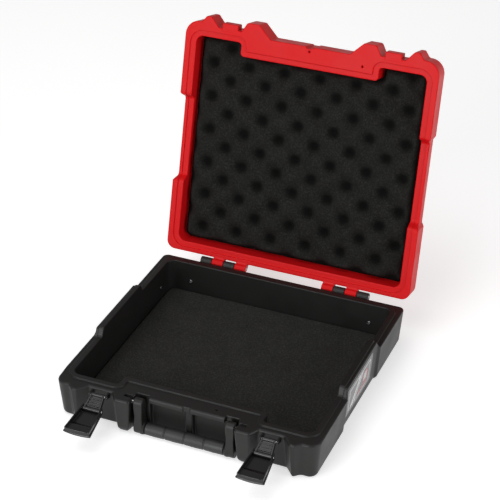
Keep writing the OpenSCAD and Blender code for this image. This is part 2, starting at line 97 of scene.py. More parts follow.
def smooth(value: Array, low: float, high: float) -> Array:
    """A ramp from 0 at low to 1 at high with level ends."""
    t = np.clip((value - low) / (high - low), 0, 1)
    return t * t * (3 - 2 * t)


def convex(points: Sequence[Point2], u: Array, v: Array, r: float) -> Array:
    """Signed distance of a convex profile whose corners are rounded.

    Args:
        points: Corners of the profile, anticlockwise.
        u: First coordinate of the places asked for.
        v: Second coordinate of the places asked for.
        r: Radius of the corners.

    Returns:
        Signed distance of the profile.
    """
    found = None
    for (u0, v0), (u1, v1) in zip(points, [*points[1:], points[0]]):
        length = math.hypot(u1 - u0, v1 - v0)
        edge = ((v1 - v0) * (u - u0) - (u1 - u0) * (v - v0)) / length
        found = edge if found is None else meet(found, edge, r)
    return found


def capsule(u: Array, v: Array, start: Point2, end: Point2, r0: float, r1: float) -> Array:
    """Signed distance of a bar with round ends of radius r0 and r1 between two points.

    Args:
        u: First coordinate of the places asked for.
        v: Second coordinate of the places asked for.
        start: Middle of the first end.
        end: Middle of the second end.
        r0: Radius of the first end.
        r1: Radius of the second end.

    Returns:
        Signed distance of the bar.
    """
    du, dv = end[0] - start[0], end[1] - start[1]
    t = np.clip(((u - start[0]) * du + (v - start[1]) * dv) / (du * du + dv * dv), 0, 1)
    return np.hypot(u - start[0] - t * du, v - start[1] - t * dv) - (r0 + t * (r1 - r0))


@dataclass
class Outline:
    """A closed outline that is the same on both sides of X = 0, as a map of distances.

    Attributes:
        corners: Corners of the right half as (x, y, radius), from the front to the rear.
        step: Spacing of the map.
    """

    corners: list[tuple[float, float, float]]
    step: float = 0.8
    reach: float = 192.0
    low: float = -182.0
    table: Array = field(init=False, repr=False)

    def __post_init__(self) -> None:
        """Fills the map."""
        path = self.rounded()
        u = np.arange(-3, int(self.reach / self.step) + 4) * self.step
        v = self.low + np.arange(int((self.reach - self.low) / self.step) + 4) * self.step
        self.table = self.exact(path, np.abs(u)[:, None], v[None, :])

    def rounded(self) -> Array:
        """The right half as a path whose corners are arcs.

        Returns:
            The points of the path.
        """
        path: list[Array] = []
        points = [np.array(c[:2]) for c in self.corners]
        for k, (x, y, r) in enumerate(self.corners):
            if r == 0:
                path.append(np.array((x, y)))
                continue
            back, on = points[k - 1] - points[k], points[k + 1] - points[k]
            back, on = back / np.linalg.norm(back), on / np.linalg.norm(on)
            half = math.acos(float(np.clip(back @ on, -1, 1))) / 2
            middle = points[k] + (back + on) / np.linalg.norm(back + on) * r / math.sin(half)
            a, b = points[k] + back * r / math.tan(half), points[k] + on * r / math.tan(half)
            count = max(3, int(math.degrees(math.pi - 2 * half) / 9))
            for t in np.linspace(0, 1, count + 1):
                spoke = a + (b - a) * t - middle
                path.append(middle + spoke / np.linalg.norm(spoke) * r)
        return np.array(path)

    @staticmethod
    def exact(path: Array, x: Array, y: Array) -> Array:
        """Signed distance to a path, measured segment by segment, for x of 0 or more.

        Args:
            path: Points of the path.
            x: X of the places asked for.
            y: Y of the places asked for.

        Returns:
            Signed distance, negative inside.
        """
        near, inside = np.full(np.broadcast(x, y).shape, 1e9), np.zeros(np.broadcast(x, y).shape, bool)
        for (ax, ay), (bx, by) in zip(path[:-1], path[1:]):
            ex, ey = bx - ax, by - ay
            size = ex * ex + ey * ey
            if size < 1e-12:
                continue
            px, py = x - ax, y - ay
            t = np.clip((px * ex + py * ey) / size, 0, 1)
            near = np.minimum(near, (px - t * ex) ** 2 + (py - t * ey) ** 2)
            crossed = (ay <= y) != (by <= y)
            if ey:
                inside ^= crossed & (x < ax + (y - ay) * ex / ey)
        return np.where(inside, -1, 1) * np.sqrt(near)

    def at(self, x: Array, y: Array) -> Array:
        """Signed distance read from the map with smooth interpolation.

        Args:
            x: X of the places asked for.
            y: Y of the places asked for.

        Returns:
            Signed distance, negative inside.
        """
        u, v = np.abs(x) / self.step + 3, (y - self.low) / self.step
        i = np.clip(np.floor(u).astype(int), 1, self.table.shape[0] - 3)
        j = np.clip(np.floor(v).astype(int), 1, self.table.shape[1] - 3)
        total = 0.0
        weights = self.weights(v - j)
        for a, wa in zip((-1, 0, 1, 2), self.weights(u - i)):
            row = sum(wb * self.table[i + a, j + b] for b, wb in zip((-1, 0, 1, 2), weights))
            total = total + wa * row
        return total

    @staticmethod
    def weights(t: Array) -> tuple[Array, Array, Array, Array]:
        """Weights of four neighbours for smooth interpolation at t between the middle two.

        Args:
            t: Share of the way between the middle two neighbours.

        Returns:
            The four weights.
        """
        return (
            t * (-0.5 + t * (1 - 0.5 * t)),
            1 + t * t * (-2.5 + 1.5 * t),
            t * (0.5 + t * (2 - 1.5 * t)),
            t * t * (-0.5 + 0.5 * t),
        )


def ticks(*runs: tuple[float, float, float]) -> Array:
    """Grid lines from runs of (start, end, spacing), each run ending where the next starts.

    Args:
        runs: Start, end and spacing of each run.

    Returns:
        The grid lines.
    """
    lines: list[float] = []
    for start, end, spacing in runs:
        count = max(1, round((end - start) / spacing))
        lines.extend(start + (end - start) * k / count for k in range(count))
    lines.append(runs[-1][1])
    return np.array(lines)


def both_ways(*runs: tuple[float, float, float]) -> Array:
    """Grid lines given for X of 0 and more, with their mirror image."""
    right = ticks(*runs)
    return np.concatenate([-right[:0:-1], right])


@dataclass
class Mesher:
    """Turns a rounded solid into a quad mesh on a grid of uneven spacing.

    Attributes:
        xs, ys, zs: Grid lines in millimetres, which reach past the solid.
        flat_angle: Faces within this angle of each other are merged, in degrees, or 0 for none.
    """

    xs: Array
    ys: Array
    zs: Array
    flat_angle: float = 0.35
    probe: float = 0.04

    def mesh(self, name: str, solid: Solid, place: Matrix | None = None) -> Mesh:
        """The solid's surface as a mesh with exact normals.

        Args:
            name: Name of the mesh.
            solid: The rounded solid.
            place: Where the solid goes, in millimetres, or None to leave it.

        Returns:
            The mesh, in metres.
        """
        points, faces = self.net(solid)
        points = self.settle(solid, points)
        made = bmesh.new()
        corners = [made.verts.new(p) for p in points.tolist()]
        for face in faces.tolist():
            made.faces.new([corners[k] for k in face])
        if self.flat_angle:
            bmesh.ops.dissolve_limit(
                made, angle_limit=math.radians(self.flat_angle), verts=made.verts, edges=made.edges,
                use_dissolve_boundaries=False, delimit=set(),
            )
        mesh = bpy.data.meshes.new(name)
        made.to_mesh(mesh)
        made.free()
        kept = np.empty(len(mesh.vertices) * 3)
        mesh.vertices.foreach_get("co", kept)
        slope = self.slope(solid, kept.reshape(-1, 3))
        normals = slope / np.maximum(np.linalg.norm(slope, axis=1, keepdims=True), 1e-9)
        placing = Matrix.Scale(MM, 4) @ (place or Matrix.Identity(4))
        turn = np.array(placing.to_3x3().normalized())
        mesh.transform(placing)
        mesh.polygons.foreach_set("use_smooth", [True] * len(mesh.polygons))
        if self.flat_angle:
            mesh.normals_split_custom_set_from_vertices((normals @ turn.T).tolist())
        return mesh

    def net(self, solid: Solid) -> tuple[Array, Array]:
        """One point in each grid cell that the surface crosses, and the quads between them.

        Args:
            solid: The rounded solid.

        Returns:
            The points, and the quads as numbers of points.
        """
        xs, ys, zs = self.xs, self.ys, self.zs
        value = np.broadcast_to(
            solid(xs[:, None, None], ys[None, :, None], zs[None, None, :]), (len(xs), len(ys), len(zs))
        )
        inside = value < 0
        corner = [(a, b, c) for a in (0, 1) for b in (0, 1) for c in (0, 1)]
        shape = tuple(n - 1 for n in value.shape)

        def shifted(grid: Array, step: tuple[int, int, int]) -> Array:
            """The grid's values at one corner of every cell."""
            return grid[tuple(slice(s, s + n) for s, n in zip(step, shape))]

        count = sum(shifted(inside, step).astype(np.int8) for step in corner)
        mixed = (count > 0) & (count < 8)
        cell = np.argwhere(mixed)
        number = np.full(shape, -1, np.int64)
        number[mixed] = np.arange(len(cell))
        values = {step: value[tuple((cell + step).T)] for step in corner}
        places = {
            step: np.stack([grid[cell[:, k] + step[k]] for k, grid in enumerate((xs, ys, zs))], 1)
            for step in corner
        }
        total, hits = np.zeros((len(cell), 3)), np.zeros(len(cell))
        for a in corner:
            for axis in range(3):
                if a[axis]:
                    continue
                b = tuple(1 if k == axis else a[k] for k in range(3))
                crosses = (values[a] < 0) != (values[b] < 0)
                t = np.where(crosses, values[a] / np.where(crosses, values[a] - values[b], 1), 0)[:, None]
                total += np.where(crosses[:, None], places[a] + t * (places[b] - places[a]), 0)
                hits += crosses
        points = total / hits[:, None]
        faces = []
        for axis in range(3):
            u, v = (axis + 1) % 3, (axis + 2) % 3
            low = [slice(None)] * 3
            high = [slice(None)] * 3
            low[axis], high[axis] = slice(0, -1), slice(1, None)
            first, second = inside[tuple(low)], inside[tuple(high)]
            edge = np.argwhere(first != second)
            edge = edge[(edge[:, u] > 0) & (edge[:, v] > 0)]
            edge = edge[(edge[:, u] < shape[u]) & (edge[:, v] < shape[v])]
            leaving = first[tuple(edge.T)]
            ring = []
            for du, dv in ((-1, -1), (0, -1), (0, 0), (-1, 0)):
                at = edge.copy()
                at[:, u] += du
                at[:, v] += dv
                ring.append(number[tuple(at.T)])
            quad = np.stack(ring, 1)
            quad[~leaving] = quad[~leaving][:, ::-1]
            faces.append(quad)
        return points, np.concatenate(faces)

    def slope(self, solid: Solid, points: Array) -> Array:
        """Direction in which the solid's distance grows, at each point.

        Args:
            solid: The rounded solid.
            points: Places asked for.

        Returns:
            The slope at each point.
        """
        h = self.probe
        out = np.empty_like(points)
        for axis in range(3):
            ahead, behind = points.copy(), points.copy()
            ahead[:, axis] += h
            behind[:, axis] -= h
            out[:, axis] = (solid(*ahead.T) - solid(*behind.T)) / (2 * h)
        return out

    def settle(self, solid: Solid, points: Array, rounds: int = 3) -> Array:
        """Moves points onto the surface along its slope.

        Args:
            solid: The rounded solid.
            points: Points near its surface.
            rounds: How many times they are moved.

        Returns:
            The moved points.
        """
        for _ in range(rounds):
            slope = self.slope(solid, points)
            move = solid(*points.T)[:, None] * slope / np.maximum((slope**2).sum(1, keepdims=True), 0.05)
            length = np.linalg.norm(move, axis=1, keepdims=True)
            points = points - move * np.minimum(1, 0.8 / np.maximum(length, 1e-9))
        return points


# ---------------------------------------------------------------- sizes


@dataclass(frozen=True)
class CaseSizes:
    """Sizes of the case in millimetres, as in the part's source."""

    width: float = 355.0
    depth: float = 334.0
    base_h: float = 53.0
    lid_h: float = 33.5
    lid_over: float = 1.6
    lid_open: float = 104.8
    side_wall: float = 14.5
    rear_wall: float = 14.0
    front_wall: float = 22.0
    shelf_d: float = 29.5
    floor_t: float = 3.0
    panel_t: float = 3.5
    panel_sink: float = 1.2
    panel_border: float = 20.0
    draft: float = 4.8
    lid_draft: float = 1.0
    front_r: float = 15.0
    rear_r: float = 8.0
    cavity_r: float = 10.0
    waist_half: float = 57.0
    waist_ramp: float = 5.0
    waist_set: float = 3.0
    waist_back: float = 6.0
    rise_h: float = 11.5
    rise_half: float = 55.0
    rise_ramp: float = 6.0
    tongue_h: float = 2.0
    tongue_w: float = 7.5
    part_gap: float = 0.4
    corner_back: float = 6.5
    lid_corner: float = 2.0
    pocket_d: float = 13.0
    centre_back: float = 17.5
    latch_x: float = 115.0
    pocket_half: float = 16.5
    flank_in: float = 7.5
    flank_out: float = 11.5
    block_flat: float = 7.0
    block_run: float = 6.5
    lid_slope: float = 18.0
    lid_step: float = 4.0
    shelf_t: float = 8.0
    recess_d: float = 13.5
    rib_w: float = 11.0
    rib_set: float = 6.5
    post_in: float = 52.5
    slot_d: float = 6.5
    groove_w: float = 10.0
    groove_d: float = 2.5
    hole_r: float = 1.6
    hole_depth: float = 4.0
    boss_in: float = 69.8
    hinge_back: float = 6.2
    hinge_drop: float = 0.5
    jog_r: float = 5.0

    @property
    def y_front(self) -> float:
        """Front of the blocks."""
        return -self.depth / 2

    @property
    def y_rear(self) -> float:
        """Rear wall."""
        return self.depth / 2

    @property
    def y_corner(self) -> float:
        """Front of the corners."""
        return self.y_front + self.corner_back

    @property
    def y_pocket(self) -> float:
        """Floor of the latch pockets."""
        return self.y_front + self.pocket_d

    @property
    def y_centre(self) -> float:
        """Front edge of the shelf."""
        return self.y_front + self.centre_back

    @property
    def lid_top(self) -> float:
        """Height of the closed lid."""
        return self.base_h + self.lid_h

    @property
    def hinge(self) -> Point2:
        """Y and Z of the hinge axis."""
        return self.y_rear + self.hinge_back, self.base_h - self.hinge_drop

    def case_outline(self, toe: float, top: float, over: float = 0.0, corner: float = 0.0) -> Outline:
        """Outline of a shell.

        Args:
            toe: X where the block beside the handle starts at the shelf's edge.
            top: X where that block starts at its front.
            over: How far the sides stand out past the base.
            corner: How far the front corners stand back from the base's.

        Returns:
            The outline.
        """
        x = self.width / 2 + over
        inner, outer = self.latch_x - self.pocket_half, self.latch_x + self.pocket_half
        block = outer + self.flank_out
        back = block + self.block_flat + self.block_run
        soft = 1.5
        front = self.y_corner + corner
        low, high = self.waist_back - self.waist_half, self.waist_back + self.waist_half
        return Outline([
            (0, self.y_centre, 0), (toe, self.y_centre, 2), (top, self.y_front, 4.5),
            (inner - self.flank_in, self.y_front, 4.5), (inner, self.y_pocket, 2), (outer, self.y_pocket, 2),
            (block, self.y_front, 3), (block + self.block_flat, self.y_front, 3), (back, front, 3),
            (x, front, self.front_r + 2.5 * corner), (x, low - self.waist_ramp, soft),
            (x - self.waist_set, low, soft), (x - self.waist_set, high, soft),
            (x, high + self.waist_ramp, soft), (x, self.y_rear, self.rear_r + 2 * corner),
            (0, self.y_rear, 0),
        ])

    def base_outline(self) -> Outline:
        """Outline of the base at its rim."""
        return self.case_outline(self.boss_in, self.boss_in)

    def lid_outline(self) -> Outline:
        """Outline of the lid at its rim."""
        top = self.boss_in + self.lid_step
        return self.case_outline(top - self.lid_slope, top, self.lid_over, self.lid_corner)

    def cavity_outline(self) -> Outline:
        """Outline of the cavity, which steps back behind the shelf.

        Returns:
            The outline.
        """
        x, jog = self.width / 2 - self.side_wall, self.latch_x - self.pocket_half - 1
        shelf, front = self.y_centre + self.shelf_d, self.y_corner + self.front_wall
        return Outline([
            (0, shelf, 0), (jog, shelf, self.jog_r), (jog, front, self.jog_r), (x, front, self.cavity_r),
            (x, self.y_rear - self.rear_wall, self.cavity_r), (0, self.y_rear - self.rear_wall, 0),
        ])

    def parting(self, y: Array, z: Array, lift: float) -> Array:
        """Signed distance of all that lies below the parting line, raised by lift.

        Args:
            y: Y of the places asked for.
            z: Z of the places asked for.
            lift: How far the line is raised.

        Returns:
            Signed distance, negative below the line.
        """
        w, a = z - self.base_h - lift, np.abs(y - self.waist_back)
        length = math.hypot(self.rise_h, self.rise_ramp)
        slope = ((a - self.rise_half) * self.rise_h + (w - self.rise_h) * self.rise_ramp) / length
        return join(w, meet(w - self.rise_h, slope, 2.2), 2.2)

    def opened(self) -> Matrix:
        """Turns what is drawn closed about the hinge axis to the open stop.

        Returns:
            The turn, in millimetres.
        """
        y, z = self.hinge
        there, back = Matrix.Translation((0, y, z)), Matrix.Translation((0, -y, -z))
        return there @ Matrix.Rotation(-math.radians(self.lid_open), 4, "X") @ back


# ---------------------------------------------------------------- helpers


class Body(Enum):
    """Moving bodies of the case."""

    BASE = "base"
    LID = "lid"
    HANDLE = "handle"
    LINK_LEFT = "link_left"
    LINK_RIGHT = "link_right"
    LEVER_LEFT = "lever_left"
    LEVER_RIGHT = "lever_right"


FIXED = (Body.BASE, Body.BASE)


class Slot(Enum):
    """Material slots of the record."""

    BLACK = "black_plastic"
    RED = "red_plastic"
    FOAM = "foam"
    GRIP = "grip_rubber"
    LATCH = "latch_plastic"
    STEEL = "steel"
    SCREW = "screw_steel"
    LABEL = "label_film"


def add_piece(
    mesh: Mesh, name: str, body: Body, slot: Slot, material: Material, *nodes: str
) -> bpy.types.Object:
    """Puts a mesh into the scene as a piece of the case.

    Args:
        mesh: The piece's mesh, in place.
        name: Name of the piece.
        body: The body that it rides on.
        slot: The record's material slot; not used.
        material: Its finish.
        nodes: CAD nodes that it stands for.

    Returns:
        The new object.
    """
    obj = bpy.data.objects.new(name, mesh)
    bpy.context.scene.collection.objects.link(obj)
    mesh.materials.clear()
    mesh.materials.append(material)
    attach(obj, body.value)
    if nodes:
        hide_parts(*nodes)
    log.info("piece %s on %s, %d faces", name, body.value, len(mesh.polygons))
    return obj


def mirrored(mesh: Mesh, name: str) -> Mesh:
    """A copy of a mesh on the other side of X = 0, with its faces still outwards.

    Args:
        mesh: The mesh of one side.
        name: Name of the copy.

    Returns:
        The copy.
    """
    copy = mesh.copy()
    copy.name = name
    normals = np.array([n.vector[:] for n in mesh.vertex_normals])
    if mesh.has_custom_normals:
        loops = np.array([loop.vector[:] for loop in mesh.corner_normals])
        owner = np.empty(len(mesh.loops), int)
        mesh.loops.foreach_get("vertex_index", owner)
        normals[owner] = loops
    copy.transform(Matrix.Scale(-1, 4, (1, 0, 0)))
    copy.flip_normals()
    normals[:, 0] *= -1
    copy.normals_split_custom_set_from_vertices(normals.tolist())
    return copy


@dataclass(frozen=True)
class Pair:
    """A piece of the right side whose mirror image is the piece of the left side.

    Attributes:
        mesh: The right piece's mesh, in place.
        name: Name of the pieces without their side.
        bodies: The bodies that the right and the left piece ride on.
        slot: The record's material slot.
        material: Their finish.
        node: Name of the CAD nodes that they stand for, without their side.
    """

    mesh: Mesh
    name: str
    bodies: tuple[Body, Body]
    slot: Slot
    material: Material
    node: str


def add_pairs(*pairs: Pair) -> None:
    """Puts pairs of pieces into the scene, first the right ones and then the left ones.

    Args:
        pairs: The pairs.
    """
    for k, side in enumerate(("right", "left")):
        for pair in pairs:
            name = f"{pair.name}_{side}"
            mesh = mirrored(pair.mesh, name) if k else pair.mesh
            add_piece(mesh, name, pair.bodies[k], pair.slot, pair.material, f"{pair.node}_{side}")


class Tree:
    """A small writer of node trees."""

    def __init__(self, tree: bpy.types.NodeTree) -> None:
        """Keeps the tree to write to."""
        self.tree = tree

    def add(
        self, kind: str, inputs: dict[str | int, object] | None = None, **settings: object
    ) -> bpy.types.Node:
        """Adds a node.

        Args:
            kind: The node's type.
            inputs: Values or source sockets for its inputs.
            settings: Properties of the node.

        Returns:
            The node.
        """
        node = self.tree.nodes.new(kind)
        for key, value in settings.items():
            setattr(node, key, value)
        for key, value in (inputs or {}).items():
            socket = node.inputs[key]
            if isinstance(value, Socket):
                self.tree.links.new(value, socket)
            else:
                socket.default_value = value
        return node

    def math(self, operation: str, a: object, b: object = 0.0, c: object = 0.0) -> Socket:
        """Adds a Math node and returns its result."""
        return self.add("ShaderNodeMath", {0: a, 1: b, 2: c}, operation=operation).outputs[0]

    def times(self, a: object, b: object) -> Socket:
        """Multiplies two values."""
        return self.math("MULTIPLY", a, b)

    def minus(self, a: object, b: object) -> Socket:
        """Subtracts the second value from the first."""
        return self.math("SUBTRACT", a, b)

    def ramp(self, value: object, low: object, high: object, start: object, end: object) -> Socket:
        """Maps a value smoothly from one range to another."""
        names = {"Value": value, "From Min": low, "From Max": high, "To Min": start, "To Max": end}
        return self.add("ShaderNodeMapRange", names, interpolation_type="SMOOTHSTEP").outputs["Result"]

    def noise(self, place: Socket, scale: float, detail: float, roughness: float = 0.5) -> Socket:
        """A noise of the given fineness."""
        inputs = {"Vector": place, "Scale": scale, "Detail": detail, "Roughness": roughness}
        return self.add("ShaderNodeTexNoise", inputs).outputs["Fac"]

    def mix(self, share: Socket, start: object, end: object, **settings: object) -> Socket:
        """Mixes two colours.

        Args:
            share: Share of the second colour.
            start: First colour, or a socket that gives it.
            end: Second colour, or a socket that gives it.
            settings: Properties of the node.

        Returns:
            The mixed colour.
        """
        ends = [value if isinstance(value, Socket) else (*value, 1.0) for value in (start, end)]
        inputs = {"Factor": share, 6: ends[0], 7: ends[1]}
        return self.add("ShaderNodeMix", inputs, data_type="RGBA", **settings).outputs[2]

    def bump(self, height: Socket, strength: float, distance: float) -> Socket:
        """A normal that follows a height, with its distance in millimetres."""
        inputs = {"Height": height, "Strength": strength, "Distance": distance * MM}
        return self.add("ShaderNodeBump", inputs).outputs["Normal"]

    def surface(self, **inputs: object) -> None:
        """Ends a material with a shader whose inputs are named with low lines for spaces.

        Args:
            inputs: Values or source sockets for its inputs.
        """
        named = {key.replace("_", " "): value for key, value in inputs.items()}
        shader = self.add("ShaderNodeBsdfPrincipled", named)
        self.add("ShaderNodeOutputMaterial", {"Surface": shader.outputs["BSDF"]})


def emptied(owner: Material | bpy.types.World) -> Tree:
    """The node tree of a material or world, with nothing in it.

    Args:
        owner: The material or world.

    Returns:
        A writer for its tree.
    """
    owner.use_nodes = True
    owner.node_tree.nodes.clear()
    return Tree(owner.node_tree)


@dataclass(frozen=True)
class NodeWork:
    """A Geometry Nodes tree with named inputs, run once on a mesh.

    Attributes:
        name: Name of the tree.
        inputs: Socket type and value of each named input.
        rule: Writes the tree from its input node and returns the result.
    """

    name: str
    inputs: dict[str, tuple[str, object]]
    rule: Callable[[Tree, bpy.types.Node], Socket]

    def run(self, mesh: Mesh, name: str, material: Material) -> Mesh:
        """Runs the tree on a mesh.

        Args:
            mesh: What the tree starts from.
            name: Name of the result.
            material: Finish that the tree sets.

        Returns:
            A plain mesh.
        """
        group = bpy.data.node_groups.new(self.name, "GeometryNodeTree")
        face = group.interface
        face.new_socket("Geometry", in_out="INPUT", socket_type="NodeSocketGeometry")
        face.new_socket("Geometry", in_out="OUTPUT", socket_type="NodeSocketGeometry")
        keys = {}
        for label, (kind, _) in {**self.inputs, "Finish": ("NodeSocketMaterial", None)}.items():
            keys[label] = face.new_socket(label, in_out="INPUT", socket_type=kind).identifier
        t = Tree(group)
        start = t.add("NodeGroupInput")
        made = t.add("GeometryNodeRealizeInstances", {"Geometry": self.rule(t, start)}).outputs[0]
        dressed = t.add("GeometryNodeSetMaterial", {"Geometry": made, "Material": start.outputs["Finish"]})
        t.add("NodeGroupOutput", {"Geometry": dressed.outputs[0]})
        holder = bpy.data.objects.new(name, mesh)
        bpy.context.scene.collection.objects.link(holder)
        modifier = holder.modifiers.new(self.name, "NODES")
        modifier.node_group = group
        for label, (_, value) in self.inputs.items():
            modifier[keys[label]] = value
        modifier[keys["Finish"]] = material
        graph = bpy.context.evaluated_depsgraph_get()
        result = bpy.data.meshes.new_from_object(holder.evaluated_get(graph), depsgraph=graph)
        holder.modifiers.clear()
        bpy.data.objects.remove(holder)
        result.name = name
        return result


def in_rows(t: Tree, start: bpy.types.Node) -> Socket:
    """Repeats a shape along X, and repeats the row on the other side of X = 0.

    Args:
        t: Writer of the tree.
        start: Input node of the tree.

    Returns:
        The repeated shape.
    """
    row = t.add(
        "GeometryNodeMeshLine", {"Count": start.outputs["Count"], "Offset": start.outputs["Pitch"]}
    ).outputs["Mesh"]
    placed = t.add("GeometryNodeInstanceOnPoints", {"Points": row, "Instance": start.outputs["Geometry"]})
    return both_sides(t, placed.outputs["Instances"])


def both_sides(t: Tree, shape: Socket) -> Socket:
    """Adds a shape's mirror image with its faces outwards.

    Args:
        t: Writer of the tree.
        shape: The shape of one side.

    Returns:
        The shape and its image.
    """
    solid = t.add("GeometryNodeRealizeInstances", {"Geometry": shape}).outputs[0]
    other = t.add("GeometryNodeTransform", {"Geometry": solid, "Scale": (-1, 1, 1)}).outputs[0]
    turned = t.add("GeometryNodeFlipFaces", {"Mesh": other}).outputs[0]
    both = t.add("GeometryNodeJoinGeometry", {"Geometry": solid})
    t.tree.links.new(turned, both.inputs[0])
    return both.outputs[0]


def repeated(mesh: Mesh, name: str, count: int, pitch: float, material: Material) -> Mesh:
    """A row of a shape on each side of the case, pitch millimetres apart."""
    inputs = {"Count": ("NodeSocketInt", count), "Pitch": ("NodeSocketVector", (pitch * MM, 0.0, 0.0))}
    return NodeWork("rows_of_" + name, inputs, in_rows).run(mesh, name, material)


# ---------------------------------------------------------------- finishes


@dataclass(frozen=True)
class Finish:
    """Moulded plastic with a fine grain.

    Attributes:
        name: Name of the material.
        colour: Base colour.
        roughness: Middle of the roughness.
        grain: Size of the grain in millimetres.
        relief: Height of the grain in millimetres.
        shade: How much the colour wanders.
        metallic: 1 for metal.
        specular: Strength of the reflection.
    """

    name: str
    colour: Colour
    roughness: float = 0.5
    grain: float = 0.7
    relief: float = 0.02
    shade: float = 0.12
    metallic: float = 0.0
    specular: float = 0.5

    def build(self) -> Material:
        """Makes the material.

        Returns:
            The material.
        """
        material = bpy.data.materials.new(self.name)
        t = emptied(material)
        place = t.add("ShaderNodeTexCoord").outputs["Object"]
        grain = t.noise(place, 1 / (self.grain * MM), 3.0, 0.6)
        cloud = t.noise(place, 22.0, 4.0, 0.55)
        dark, light = (tuple(c * (1 + way * self.shade) for c in self.colour) for way in (-1, 1))
        t.surface(
            Base_Color=t.mix(cloud, dark, light),
            Roughness=t.ramp(cloud, 0.3, 0.7, self.roughness - 0.05, self.roughness + 0.05),
            Normal=t.bump(grain, 0.6, self.relief),
            Metallic=self.metallic,
            Specular_IOR_Level=self.specular,
        )
        return material


@dataclass(frozen=True)
class FoamFinish:
    """Open-cell charcoal foam: fine cells, lighter flecks and painted shade in the hollows.

    Attributes:
        name: Name of the material.
        colour: Base colour.
        fleck: Colour of the flecks.
        cell: Size of the cells in millimetres.
        depth: Share of the base colour that is left at the bottom of a hollow, where the painted shade is
            deepest.
    """

    name: str
    colour: Colour
    fleck: Colour
    cell: float = 1.3
    depth: float = 0.3

    def build(self) -> Material:
        """Makes the material.

        Returns:
            The material.
        """
        material = bpy.data.materials.new(self.name)
        t = emptied(material)
        place = t.add("ShaderNodeTexCoord").outputs["Object"]
        cells = t.add(
            "ShaderNodeTexVoronoi", {"Vector": place, "Scale": 1 / (self.cell * MM), "Randomness": 1.0}
        ).outputs["Distance"]
        fine = t.noise(place, 420.0, 5.0, 0.75)
        broad = t.noise(place, 46.0, 4.0, 0.6)
        flecks = t.ramp(fine, 0.44, 0.68, 0.0, 1.0)
        # Painted shade: the "hollow" mark pulls the colour towards a darker tone in the crated foam's hollows
        # and where it falls away at the walls.
        deep = t.add("ShaderNodeAttribute", attribute_name="hollow").outputs["Fac"]
        shade = t.math("MULTIPLY_ADD", broad, 0.5, t.times(flecks, 0.7))
        open_side = t.mix(shade, self.colour, self.fleck, clamp_factor=True)
        shadow = tuple(c * self.depth for c in self.colour)
        t.surface(
            Base_Color=t.mix(t.ramp(deep, 0.3, 0.95, 0.0, 0.85), open_side, shadow),
            Roughness=0.95,
            Normal=t.bump(t.math("ADD", cells, fine), 0.9, 0.35),
            Specular_IOR_Level=0.1,
        )
        return material


@dataclass(frozen=True)
class LabelFinish:
    """Glossy film printed with a plain design: a border, two slanting strips and a red bar.

    Attributes:
        name: Name of the material.
        low: Nearest and lowest corner of the film, as (y, z) in millimetres.
        high: Farthest and highest corner.
        film: Colour of the film.
        strip: Colour of the strips and the border.
        bar: Colour of the bar.
    """

    name: str
    low: Point2 = (-48.0, 17.0)
    high: Point2 = (44.0, 60.0)
    film: Colour = (0.11, 0.11, 0.115)
    strip: Colour = (0.72, 0.72, 0.73)
    bar: Colour = (0.55, 0.04, 0.045)

    def build(self) -> Material:
        """Makes the material.

        Returns:
            The material.
        """
        material = bpy.data.materials.new(self.name)
        t = emptied(material)
        place = t.add("ShaderNodeTexCoord").outputs["Object"]
        at = t.add("ShaderNodeSeparateXYZ", {0: place}).outputs
        wide, tall = self.high[0] - self.low[0], self.high[1] - self.low[1]
        u = t.ramp(at["Y"], self.low[0] * MM, self.high[0] * MM, 0.0, wide)
        v = t.ramp(at["Z"], self.low[1] * MM, self.high[1] * MM, 0.0, tall)
        soft = 0.4

        def band(value: Socket, low: float, high: float) -> Socket:
            """1 between two values and 0 elsewhere, with soft ends."""
            rise, fall = t.ramp(value, low, low + soft, 0.0, 1.0), t.ramp(value, high, high + soft, 1.0, 0.0)
            return t.times(rise, fall)

        def box(left: float, right: float, foot: float, head: float) -> Socket:
            """1 in an upright box and 0 elsewhere."""
            return t.times(band(u, left, right), band(v, foot, head))

        def either(a: Socket, b: Socket) -> Socket:
            """Where one of the marks is."""
            return t.math("MAXIMUM", a, b)

        inner, outer = box(2.6, wide - 3.0, 2.6, tall - 3.0), box(1.8, wide - 2.2, 1.8, tall - 2.2)
        slant = t.math("MULTIPLY_ADD", v, -0.9, u)
        strips = t.times(either(band(slant, 4.0, 13.0), band(slant, 19.0, 24.0)), inner)
        block, core = box(66.0, 84.0, 12.0, 34.0), box(68.4, 81.6, 14.4, 31.6)
        pale = either(either(t.minus(outer, inner), strips), t.times(core, 0.6))
        red = either(box(38.0, 84.0, 5.0, 8.0), t.minus(block, core))
        grain = t.noise(place, 900.0, 2.0)
        t.surface(
            Base_Color=t.mix(red, t.mix(pale, self.film, self.strip), self.bar),
            Roughness=t.ramp(grain, 0.3, 0.7, 0.24, 0.32),
            Normal=t.bump(grain, 0.3, 0.01),
            Specular_IOR_Level=0.35,
            Coat_Weight=0.1,
            Coat_Roughness=0.2,
        )
        return material


